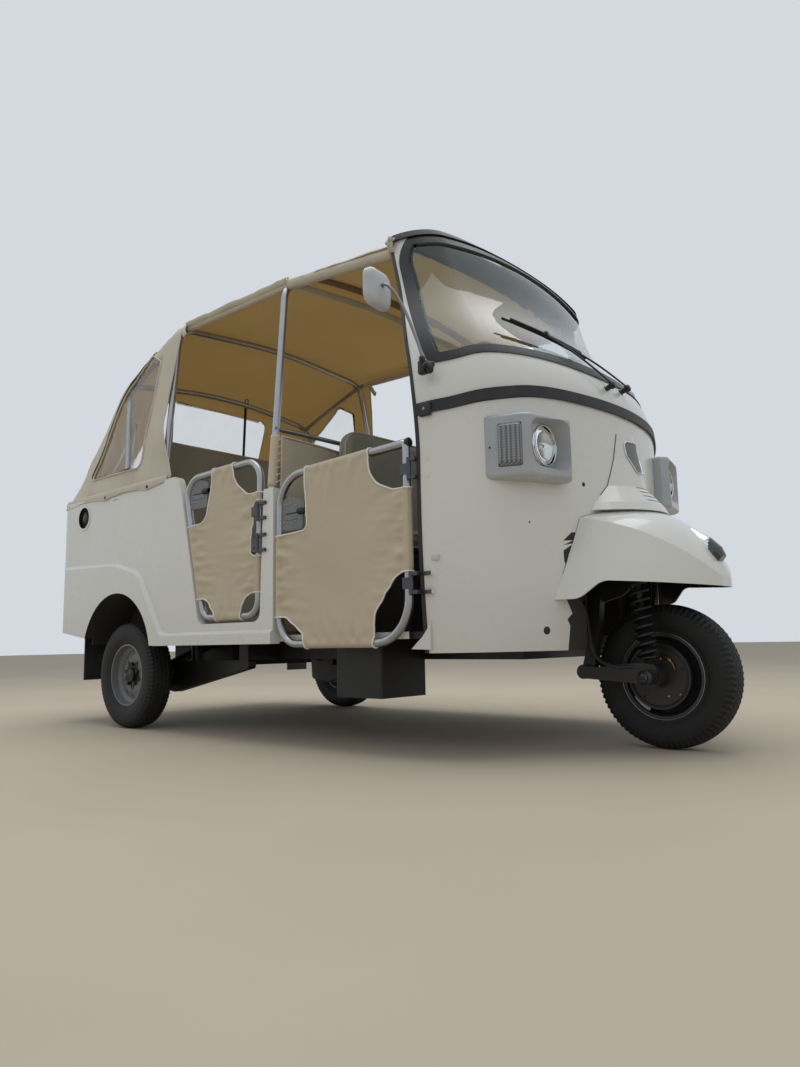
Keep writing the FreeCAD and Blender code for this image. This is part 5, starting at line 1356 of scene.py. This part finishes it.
# Tyres with a ribbed tread: rows are share of the half width, rise over the bead, share of the tread's depth
TYRE_SIDE = ((0.70, 0.6, 0), (0.78, 0.6, 0), (0.835, 3, 0), (0.86, 8, 0), (0.85, 11, 0), (0.90, 15, 0),
             (0.945, 24, 0), (0.972, 34, 0), (0.99, 44, 0), (0.985, 47, 0), (1.0, 50, 0), (0.985, 54, 0),
             (0.985, 62, 0), (0.96, 70, 0), (0.935, 76, 0.3), (0.925, 78, 1), (0.88, 84, 1), (0.83, 88.5, 1),
             (0.78, 91.4, 1))
TREAD_SHARE, TREAD_CROWN, TREAD_STEPS = 0.78, 5.6, 34
GROOVES, GROOVE_DEPTH, GROOVE_HALF, GROOVE_WAVE = (-0.36, 0.0, 0.36), 5.5, 2.7, 1.6
SHOULDER_SHARE, SLOT_DEPTH, SLOT_HALF = 0.54, 6.0, 0.2
RIB_SHARE, RIB_HALF_SHARE, CUT_DEPTH, CUT_HALF = 0.18, 0.12, 2.2, 0.07
TREAD_BLOCKS, TYRE_STEPS = 38, 456


def tyre_rows():
    """Section of a tyre from bead to bead: y, radius, share of the tread's depth."""
    w = TYRE_W / 2
    half = [(w * share, TYRE_BEAD_R + rise, tread) for share, rise, tread in TYRE_SIDE]
    edge = w * TREAD_SHARE
    for k in range(1, TREAD_STEPS + 1):
        y = edge * (1 - k / TREAD_STEPS)
        half.append((y, TYRE_R - TREAD_CROWN * (y / edge) ** 2, 1))
    return [(-y, r, tread) for y, r, tread in half] + half[-2::-1]


def cut(off, half, depth):
    """Depth of a cut with a flat floor at a distance from its middle."""
    return depth * max(0.0, 1 - (abs(off) / half) ** 4)


def tread_depth(y, angle, share):
    """Depth of the pattern: three wavy grooves round the tyre, slots on its shoulders, fine cuts on its ribs."""
    if not share:
        return 0.0
    w = TYRE_W / 2
    wave = GROOVE_WAVE * math.sin(angle * TREAD_BLOCKS)
    deep = max(cut(y - groove * w - wave, GROOVE_HALF, GROOVE_DEPTH) for groove in GROOVES)
    phase = (angle * TREAD_BLOCKS / math.pi + (0.5 if y > 0 else 0.0)) % 1.0 - 0.5
    if abs(y) > SHOULDER_SHARE * w:
        shoulder = min(1.0, (abs(y) - SHOULDER_SHARE * w) / 3) * share
        return max(deep, cut(phase, SLOT_HALF, SLOT_DEPTH) * shoulder)
    if abs(abs(y) - RIB_SHARE * w) < RIB_HALF_SHARE * w:
        return max(deep, cut(phase, CUT_HALF, CUT_DEPTH))
    return deep


def make_tyre(node, x, y, body):
    rows = tyre_rows()
    points = []
    for i in range(TYRE_STEPS):
        a = 2 * math.pi * i / TYRE_STEPS
        for side, r, share in rows:
            q = r - tread_depth(side, a, share)
            points.append((x + q * math.cos(a), y + side, TYRE_R + q * math.sin(a)))
    made = ringed(f"{node}_tread", points, len(rows), TYRE_RUBBER, body, "tyre", closed=True)
    tidy_normals(made)
    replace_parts(made, node)


def make_tyres():
    make_tyre("front_tyre", WHEEL_X, 0.0, "front_wheel")
    for side, sign in SIDES:
        make_tyre(f"rear_tyre_{side}", 0.0, -sign * REAR_WHEEL_Y, f"rear_wheel_{side}")


# Door fittings: rows are door, x and z of the latch plate, reach of its knob, x and y of the hinges, heights
DRIVER_HINGE_ZS, PASSENGER_HINGE_ZS = (540.0, 900.0), (735.0, 855.0)
DOOR_HARDWARE = (("driver_door", (1110.0, 828.0), 110.0, (1743.0, 737.0), DRIVER_HINGE_ZS),
                 ("passenger_door", (514.0, 981.0), 118.0, (996.0, 748.0), PASSENGER_HINGE_ZS))
RIVETS = ((34, 36), (50, 38), (34, -34), (50, -34), (15, 34), (15, -32), (15, -52), (78, 26), (78, -30))
KNOB = ((0, 11.6), (3, 12.4), (5, 11.4), (8, 12.4), (11, 11.4), (14, 12.4), (17, 11.4), (20, 12.4),
        (23, 11.4), (27, 12.2), (33, 11.0), (36, 7.0))
FRAME_PLUG = ((-3, 14.2), (4, 15.2), (9, 15.2), (12, 12.0))
PLATE_Y, KNOB_Y, PIN_RISE = 727.0, 739.0, 34.5


def door_fittings(side, sign, door, latch, reach, hinge, hinge_zs):
    """Latch plate, knob, hinges and plug on the frame of one door."""
    node = f"{door}_frame_{side}"
    (lx, lz), (hx, hy) = latch, hinge
    recolour(node, LATCH_PLASTIC, lambda x, y, z, n: (
        abs(abs(y) - 725) < 2.4 and lx + 5 < x < lx + reach + 18 and abs(z - lz) < 68))
    recolour(node, BLACK_PLASTIC, lambda x, y, z, n: (
        lx + reach - 2 < x < lx + reach + 38 and 727.5 < abs(y) < 752 and abs(z - lz) < 12))
    for hz in hinge_zs:
        recolour(node, HINGE_METAL, lambda x, y, z, n: (
            abs(z - hz) < 23 and abs(y) > hy - 3.2 and x > hx - 34.2))
    parts = Group(f"{door}_fittings_{side}", ZINC, f"{door}_{side}", "frame_tube")
    for dx, dz in RIVETS:
        parts.add(stud, (lx + dx, -sign * PLATE_Y, lz + dz), (0, -sign, 0), 4.2, 2.6)
    slot_line = [(lx + 24 + k * (reach - 30) / 4, -sign * (PLATE_Y + 0.4), lz) for k in range(5)]
    parts.add(tube_along, slot_line, 2.4, finish=BLACK_PLASTIC, sides=8, flat=0.3, up=(0, 1, 0))
    fold = [(lx + 26 + k * 20, -sign * PLATE_Y, lz - 22) for k in range(4)]
    parts.add(tube_along, fold, 3.0, finish=LATCH_PLASTIC, sides=8, flat=0.6, up=(0, 1, 0))
    parts.add(lathe, KNOB, (lx + reach, -sign * KNOB_Y, lz), (1, 0, 0), finish=BLACK_PLASTIC, sides=20)
    for hz in hinge_zs:
        for dz in (-PIN_RISE, PIN_RISE):
            parts.add(stud, (hx, -sign * hy, hz + dz), (0, 0, dz), 5.4, 2.6, finish=HINGE_METAL)
    if door == "driver_door":
        end = (1728.0, -sign * 725.0, 988.0)
        parts.add(lathe, FRAME_PLUG, end, (1, 0, 0.03), finish=BLACK_PLASTIC, sides=20)
    parts.join()


def make_door_fittings():
    for side, sign in SIDES:
        for row in DOOR_HARDWARE:
            door_fittings(side, sign, *row)
    for hz in DRIVER_HINGE_ZS:
        recolour("cab_shell", HINGE_METAL, lambda x, y, z, n: (
            20 < abs(z - hz) < 37 and x < 1800 and (abs(n.y) > 0.99 or abs(n.z) > 0.98 or abs(y) > 722)))
    for side, _ in SIDES:
        for hz in PASSENGER_HINGE_ZS:
            recolour(f"side_panel_{side}", HINGE_METAL, lambda x, y, z, n: (
                abs(z - hz) < 37 and abs(y) > 742.5 and 980 < x < 1046))


# Mirrors: places and the stem's route on the right side
MIRROR_HEAD, MIRROR_FOOT = (1728.0, -850.0, 1460.0), (1812.0, -726.0, 1205.0)
MIRROR_COLLAR = (1812.0, -739.0, 1224.0)
MIRROR_STEM = ((1812.0, -736.0, 1222.0), (1812.0, -750.0, 1268.0), (1790.0, -790.0, 1385.0),
               (1774.0, -826.0, 1446.0), (1762.0, -848.0, 1466.0), (1744.0, -850.0, 1467.0))
MIRROR_OUTLINE = ((-62.0, -61.0), (62.0, -61.0), (62.0, 61.0), (-62.0, 61.0))
MIRROR_RADII = (34, 34, 34, 34)
# rows: depth and share of the outline
MIRROR_DOME = ((-15.0, 0.95), (-14.0, 0.985), (-11.0, 1.0), (-4.0, 1.0), (2.0, 0.985), (7.0, 0.95),
               (11.0, 0.88), (14.0, 0.76), (16.0, 0.58), (17.2, 0.36), (17.6, 0.12))
MIRROR_TURN = 8
MIRROR_BACK = 15.2
MIRROR_KNOB = ((0.0, 14.62), (3.0, 17.0), (16.0, 17.0), (20.0, 13.94))
COLLAR = ((0, 9.5), (3, 10.5), (18, 10.0), (24, 7.0))


def mirror_shell(name, centre, turn, finish, body, slot):
    """A domed head with large corner radii; its flat back holds the glass."""
    outline = rounded(MIRROR_OUTLINE, MIRROR_RADII, 9.0)
    c, s = math.cos(turn), math.sin(turn)
    points = []
    for depth, share in MIRROR_DOME:
        for q in outline:
            u, v = q.x * share, q.y * share
            points.append((centre[0] + depth * c - u * s, centre[1] + depth * s + u * c, centre[2] + v))
    made = ringed(name, points, len(outline), finish, body, slot)
    tidy_normals(made)
    return made


def make_mirrors():
    heads = Group("mirror_heads", MIRROR_SHELL, slot="grey_plastic")
    glasses = Group("mirror_glasses", MIRROR_GLASS, slot="chrome")
    stems = Group("mirror_stems", BLACK_PLASTIC, slot="grey_plastic")
    for _, sign in SIDES:
        def near(place, dx=0.0, dy=0.0, dz=0.0):
            """A point beside a place of the right side, on the side that is built."""
            return (place[0] + dx, sign * (place[1] + dy), place[2] + dz)

        turn = math.radians(MIRROR_TURN * sign)
        heads.add(mirror_shell, near(MIRROR_HEAD), turn)
        back = near(MIRROR_HEAD, -MIRROR_BACK * math.cos(turn), -MIRROR_BACK * abs(math.sin(turn)))
        glasses.add(block, (0.9, 52, 51), 0.8, back, turn=turn, segments=2)
        stem = rounded_path([near(p) for p in MIRROR_STEM], 26.0)
        stems.add(tube_along, stem, 5.2, finish=ZINC, sides=12)
        stems.add(stud, near(MIRROR_HEAD, 15, 0, 6), (1, 0, 0), 11.0, 5.0, finish=ZINC)
        for dz in (24, -14):
            stems.add(stud, near(MIRROR_HEAD, 15, -2, dz), (1, 0, 0), 3.4, 1.6)
        stems.add(block, (15, 13, 23), 7.0, near(MIRROR_FOOT, -4, -8, 8))
        stems.add(lathe, MIRROR_KNOB, near(MIRROR_FOOT, 16, -10, 2), (1.0, -0.35 * sign, 0.0), sides=48,
                  lobes=3, lobe_share=4.5 / 17)
        stems.add(lathe, COLLAR, near(MIRROR_COLLAR), (0, -0.28 * sign, 1), sides=16)
    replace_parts(heads.join(), "mirrors")
    glasses.join()
    stems.join()


# Wiper: blade ends, the feet of the two spindles and a spindle's profile
WIPER_BLADE = ((2018.0, -70.0, 1362.0), (1905.0, -430.0, 1440.0))
WIPER_SPINDLES = ((2078.0, 60.0, 1248.0), (2083.0, -66.0, 1230.0))
SPINDLE = ((-4, 13.0), (3, 13.0), (5, 9.5), (24, 9.5), (25, 13.5), (37, 13.5), (40, 10.0))


def make_wiper():
    parts = Group("wiper_set", BLACK_PLASTIC, slot="black_plastic")
    a, b = (Vector(p) for p in WIPER_BLADE)
    out = Vector((0.75, -0.32, 0.58)).normalized()
    sideways = (b - a).normalized().cross(out)
    blade = [a.lerp(b, k / 24) + out * (5.0 + 7.0 * math.sin(math.pi * k / 24)) for k in range(25)]
    parts.add(tube_along, [p - out * 7.5 for p in blade], 4.6, finish=RUBBER, sides=8, flat=0.5, up=sideways)
    parts.add(tube_along, [p + out for p in blade[2:-2]], 5.2)
    middle = a.lerp(b, 0.5) + out * 14.0
    for i, place in enumerate(WIPER_SPINDLES):
        foot = Vector(place)
        head = foot + Vector((30.0, 0.0, 10.0))
        parts.add(lathe, SPINDLE, foot, head - foot, sides=20)
        end = middle + (a - middle) * (0.30 - 0.42 * i)
        start = head + (head - foot).normalized() * 2
        arm = [start.lerp(end, k / 10) + out * (9.0 * math.sin(math.pi * k / 10)) for k in range(11)]
        parts.add(tube_along, arm, 5.6, flat=0.55, up=out)
    parts.add(block, (7, 22, 7), 3.0, middle, turn=math.radians(17))
    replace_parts(parts.join(), "wiper")


# Bodywork details
PLATE_OUTLINE = ((-44.0, 1036.0), (44.0, 1036.0), (46.0, 985.0), (20.0, 924.0), (-20.0, 924.0),
                 (-46.0, 985.0))
PLATE_RADII = (14, 14, 30, 14, 14, 30)
# rows: start and heading of the line that finds the seat of a plug on the right side, and the plug's radius
SHELL_PLUGS = (((2300.0, -255.0, 864.0), (-1, 0, 0), 7.5), ((2008.0, -900.0, 726.0), (0, 1, 0), 3.2),
               ((2017.0, -900.0, 388.0), (0, 1, 0), 13.0))
VENT_X, VENT_Z = -392.0, 992.0


def make_plate():
    """The blank name plate, which follows the nose cover, and its bright rim."""
    nose = surface("nose_cover")
    flat, faces, rim = net(rounded(PLATE_OUTLINE, PLATE_RADII, 5.0), 7.0)
    hits = [struck(nose, (2400.0, y, z), (-1, 0, 0)) for y, z in flat]
    points = [tuple(found + normal * 2.6) for found, normal in hits]
    faces, _ = facing(points, faces, 0, (1, 0, 0))
    skin = shell_of(points, faces, [normal for _, normal in hits], 3.0)
    plate = piece("blank_plate", *skin, LATCH_PLASTIC, "chassis", "white_paint")
    tidy_normals(plate)
    edge = [found + normal * 3.1 for found, normal in hits[:rim]]
    tube_along("blank_plate_rim", edge, 1.8, CHROME, "chassis", "white_paint", closed=True, sides=8)


def make_plugs():
    """Plugs, door stops and the end caps of the belt rubber."""
    shell = surface("cab_shell")
    plugs = Group("shell_plugs", BLACK_PLASTIC, slot="rubber")
    for _, sign in SIDES:
        for (x, y, z), (ahead, across, _), radius in SHELL_PLUGS:
            heading = Vector((ahead, sign * across, 0))
            found, normal = struck(shell, (x, sign * y, z), heading)
            plugs.add(stud, found, normal if normal.dot(heading) < 0 else -normal, radius, 2.0)
        found, _ = struck(shell, (1812.0, sign * -900.0, 615.0), (0, sign, 0))
        plugs.add(block, (17, 4, 10), 3.9, found, finish=STOP_PAINT)
        found, _ = struck(shell, (1800.0, sign * -900.0, 1083.0), (0, sign, 0))
        cap_y = found.y - sign * 7.0
        plugs.add(block, (22, 7, 22), 5.0, (1800.0, cap_y, 1083.0), finish=RUBBER)
        plugs.add(stud, (1798.0, cap_y - sign * 6.6, 1084.0), (0, -sign, 0), 5.0, 2.0, finish=ZINC)
        plugs.add(stud, (1958.0, -sign * 602.5, 951.0), (-0.32, -sign * 0.95, 0), 3.6, 1.6)
    plugs.join()


def make_vents():
    slats = Group("vent_grilles", BLACK_PLASTIC, slot="black_plastic")
    for side, sign in SIDES:
        recolour(f"side_panel_{side}", BLACK_PLASTIC, lambda x, y, z, n: (
            math.hypot(x - VENT_X, z - VENT_Z) < 53.5 and abs(y) < 738.8))
        for k in range(-3, 4):
            half = (math.sqrt(50.0 ** 2 - (k * 13.0) ** 2), 4.0, 1.6)
            centre = (VENT_X, -sign * 729.0, VENT_Z + 13 * k)
            slats.add(block, half, 1.2, centre, turn=-sign * 0.5, axis="X", segments=2)
        hub = (VENT_X, -sign * 724.0, VENT_Z)
        slats.add(lathe, ((0, 26), (8, 25), (10, 20)), hub, (0, -sign, 0), sides=28)
    slats.join()


def inward(x, y, z, n):
    """How far a normal looks along a direction, from -1 to 1."""
    return n.dot(Vector((x, y, z)).normalized())


def recolour_shells():
    """Painted shade in the cab; dark inner faces of other panels, the floor's mat, frame's wrap and lamp's lens.
    """
    recolour("floor_pan", CHASSIS_PAINT, lambda x, y, z, n: (
        z < 371 or (x < 412 and z < 680) or (abs(y) < 300 and z < 658 and x > 1872)))
    # Painted shade: the cab floor and the seat box behind the front shell turn near-black
    recolour("floor_pan", LINER_AND_SHADE_PAINT, lambda x, y, z, n: x > 1070 and abs(y) < 700)
    recolour("floor_pan", RUBBER, lambda x, y, z, n: x > 380 and n.z > 0.5 and 371 < z < 430 and abs(y) < 725)
    # Painted shade: the front shell's inner faces and its faces that look down under the roof turn near-black
    recolour("cab_shell", LINER_AND_SHADE_PAINT, lambda x, y, z, n: x < 2060 and inward(1450 - x, -y, 0, n) > 0.15)
    recolour("cab_shell", LINER_AND_SHADE_PAINT, lambda x, y, z, n: z > 1700 and n.z < -0.3)
    recolour("cab_shell", LINER_AND_SHADE_PAINT, lambda x, y, z, n: (
        x > 2000 and z < 700 and abs(y) < 330 and (n.x > 0.9 or (n.y * y < 0 and abs(n.y) > 0.5))))
    recolour("front_mudguard", CHASSIS_PAINT, lambda x, y, z, n: inward(2200 - x, -y, 540 - z, n) > 0.12)
    for side, _ in SIDES:
        recolour(f"side_panel_{side}", LINER_AND_SHADE_PAINT, lambda x, y, z, n: (
            math.hypot(x, z - TYRE_R) < 470 and abs(n.y) < 0.3 and inward(-x, 0, TYRE_R - z, n) > 0.3))
        recolour(f"side_panel_{side}", LINER_AND_SHADE_PAINT, lambda x, y, z, n: z < 470 and n.y * y < -0.5)
    recolour("canopy_frame", CANVAS, lambda x, y, z, n: 950 < x < 1000 and abs(y) < 540 and z > 1780)
    recolour("mudguard_lamp", SMOKED_LENS, lambda x, y, z, n: x > 2392)


# Front suspension and wheel details
SPRING_LOW, SPRING_HIGH = Vector((2224.0, -140.0, 272.5)), Vector((2190.0, -140.0, 580.0))
SPRING_R, SPRING_TURNS, TURN_STEPS = 28.0, 9.5, 20
BLEED_PIPE = ((2222, -78, 296), (2250, -84, 300), (2268, -86, 287), (2278, -80, 262), (2276, -76, 250))
BRAKE_PIPE = ((2004, -150, 486), (2014, -150, 440), (2020, -150, 372), (2026, -150, 318), (2056, -152, 284),
              (2110, -152, 266), (2176, -150, 268), (2206, -120, 266), (2214, -78, 262))
# rows: profile, y, finish, sides and smoothness of the pieces on the end of the axle
AXLE_END = ((((0, 24), (5, 24), (5.2, 20), (8, 20)), -172.0, HUB_METAL, 28, True),
            (((0, 15), (11, 15), (13, 12)), -179.0, HINGE_METAL, 6, False),
            (((0, 8), (5, 8), (7, 6)), -191.0, DARK_IRON, 18, True))
# rows: x, z, radius and depth of the brass nuts; x, z and finish of the plate's bolts
BRASS_NUTS = ((2236.0, 292.0, 5.0, 18.0), (2262.0, 288.0, 7.0, 10.0))
PLATE_BOLTS = ((2288, 178, ZINC), (2250, 172, ZINC), (2168, 168, DARK_IRON), (2150, 280, DARK_IRON),
               (2300, 262, DARK_IRON))


def make_spring():
    axis = (SPRING_HIGH - SPRING_LOW).normalized()
    out = Vector((0, 1, 0))
    across = axis.cross(out)
    length = (SPRING_HIGH - SPRING_LOW).length
    last = int(SPRING_TURNS * TURN_STEPS)
    coil = []
    for k in range(last + 1):
        a = 2 * math.pi * k / TURN_STEPS
        centre = SPRING_LOW + axis * (26 + (length - 48) * k / last)
        coil.append(centre + out * (SPRING_R * math.cos(a)) + across * (SPRING_R * math.sin(a)))
    damper = ((10, 15), (22, 15), (22, 33), (27, 33), (28, 19), (150, 19), (152, 10), (length - 24, 10),
              (length - 24, 33), (length - 14, 34), (length - 12, 16), (length - 8, 14))
    spring = Group("front_spring_coil", BLACK_PLASTIC, "steering", "black_steel")
    spring.add(tube_along, coil, 5.6)
    spring.add(lathe, damper, SPRING_LOW, axis, sides=28)
    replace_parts(spring.join(), "front_spring")


def make_front_details():
    make_spring()
    fittings = Group("front_fittings", BRASS, "steering", "black_steel")
    for profile, y, finish, sides, smooth in AXLE_END:
        fittings.add(lathe, profile, (WHEEL_X, y, TYRE_R), (0, -1, 0), finish=finish, sides=sides,
                     smooth=smooth)
    fittings.add(tube_along, rounded_path(BLEED_PIPE, 12.0), 2.2)
    for x, z, radius, deep in BRASS_NUTS:
        profile = ((0, radius), (deep, radius), (deep + 2, radius * 0.6))
        fittings.add(lathe, profile, (x, -74.0, z), (0, -1, 0), sides=6, smooth=False)
    for x, z, finish in PLATE_BOLTS:
        fittings.add(stud, (x, -72.5, z), (0, -1, 0), 5.0, 4.0, finish=finish)
    bead = [(WHEEL_X + u, -73.0, TYRE_R + v) for u, v in circle(96, 64)]
    fittings.add(tube_along, bead, 3.0, finish=DARK_IRON, closed=True, sides=8)
    fittings.add(tube_along, rounded_path(BRAKE_PIPE, 26.0), 6.0, finish=RUBBER, sides=12)
    fittings.join()
    wheel = Group("front_wheel_trim", STEEL_TUBE, "front_wheel", "rim_paint")
    ring = [(WHEEL_X + u, -47.0, TYRE_R + v) for u, v in circle(140.2, 120)]
    wheel.add(tube_along, ring, 1.3, closed=True, sides=8)
    weight = []
    for k in range(9):
        a = math.radians(214 + 32 * k / 8)
        y = -44.0 + 2 * math.cos(math.pi * k / 8)
        weight.append((WHEEL_X + 118 * math.cos(a), y, TYRE_R + 118 * math.sin(a)))
    wheel.add(tube_along, weight, 6.0, finish=GREY_PLASTIC, flat=0.35, up=(0, 1, 0))
    wheel.join()


def make_rear_details():
    cap = ((-18, 27), (-4, 26), (0, 23), (2, 15), (3, 4))
    for side, sign in SIDES:
        recolour(f"rear_rim_{side}", DARK_IRON, lambda x, y, z, n: math.hypot(x, z - TYRE_R) < 58)
        hub = Group(f"rear_hub_{side}", BLACK_PLASTIC, f"rear_wheel_{side}", "rim_paint")
        hub.add(lathe, cap, (0.0, -sign * (REAR_WHEEL_Y + 28.0), TYRE_R), (0, -sign, 0), sides=32)
        for u, v in circle(88, 10, math.radians(18)):
            hub.add(stud, (u, -sign * (REAR_WHEEL_Y + 9.8), TYRE_R + v), (0, -sign, 0), 7.0, 0.5)
        hub.join()
    bits = Group("rear_bits", BLACK_PLASTIC, slot="red_lens")
    for _, sign in SIDES:
        for z in (690, 745):
            bits.add(block, (1.6, 39, 1.4), 1.0, (TUB_REAR_X - 16.6, -sign * 520.0, z), segments=2)
        frame_at = (TUB_REAR_X - 4.0, -sign * 520.0, 720.0)
        bits.add(block, (5, 46, 86), 4.0, frame_at, finish=RUBBER, segments=2)
        for z in (236, 440):
            bits.add(stud, (-400.5, -sign * 640.0, z), (-1, 0, 0), 7.0, 3.0, finish=ZINC)
    bits.join()


def seam_line(node, other, starts, along):
    """Where one panel ends on another: for each pair of start points, found by halving."""
    along = Vector(along)
    first, second = surface(node), surface(other)

    def on_first(p):
        a, b = (struck(tree, p, along)[0] for tree in (first, second))
        return a is not None and (b is None or (a - p).length < (b - p).length + 0.5)

    line = []
    for inner, outer in starts:
        inner, outer = Vector(inner), Vector(outer)
        if not on_first(inner) or on_first(outer):
            continue
        for _ in range(16):
            middle = (inner + outer) / 2
            if on_first(middle):
                inner = middle
            else:
                outer = middle
        found, _ = struck(second, outer, along)
        if found is not None:
            line.append(found - along * 0.6)
    return line


def make_seams():
    """Dark joint lines of the nose cover and the mudguard on the shell."""
    seams = Group("panel_seams", BLACK_PLASTIC, slot="rubber")
    for _, sign in SIDES:
        nose = [((2700.0, -sign * 8.0, z), (2700.0, -sign * 260.0, z)) for z in range(836, 1075, 6)]
        guard = [((2200.0 - 0.1 * (z - 560), -sign * 900.0, z), (1700.0, -sign * 900.0, z))
                 for z in range(566, 812, 6)]
        for node, starts, along, radius in (("nose_cover", nose, (-1, 0, 0), 1.5),
                                            ("front_mudguard", guard, (0, sign, 0), 1.3)):
            line = seam_line(node, "cab_shell", starts, along)
            if len(line) > 2:
                seams.add(tube_along, line, radius, sides=8)
    seams.join()


def make_sill_pieces():
    """Cream corner pieces between the driver's doors and the shell's foot."""
    corners = Group("sill_corners", PAINT, slot="white_paint")
    outline = ((1712.0, 338.0), (1787.0, 336.0), (1789.0, 424.0), (1778.0, 400.0), (1756.0, 374.0),
               (1728.0, 352.0))
    for _, sign in SIDES:
        made = corners.add(piece, *prism(*([(x, -sign * y, z) for x, z in outline] for y in (706.0, 699.0))),
                           smooth=False)
        tidy_normals(made)
    corners.join()


make_camera()
make_floor()
make_sky()
make_lamps()
make_lamps_on_shell()
make_tyres()
make_door_fittings()
make_mirrors()
make_wiper()
make_plate()
make_plugs()
make_vents()
recolour_shells()
make_front_details()
make_rear_details()
make_sill_pieces()
make_seams()
make_canopy()
make_straps()
make_canopy_films()
make_door_canvases()
make_partition()
for pad_row in SEAT_PADS:
    make_pad(*pad_row)

bpy.context.scene.view_settings.view_transform = "Standard"
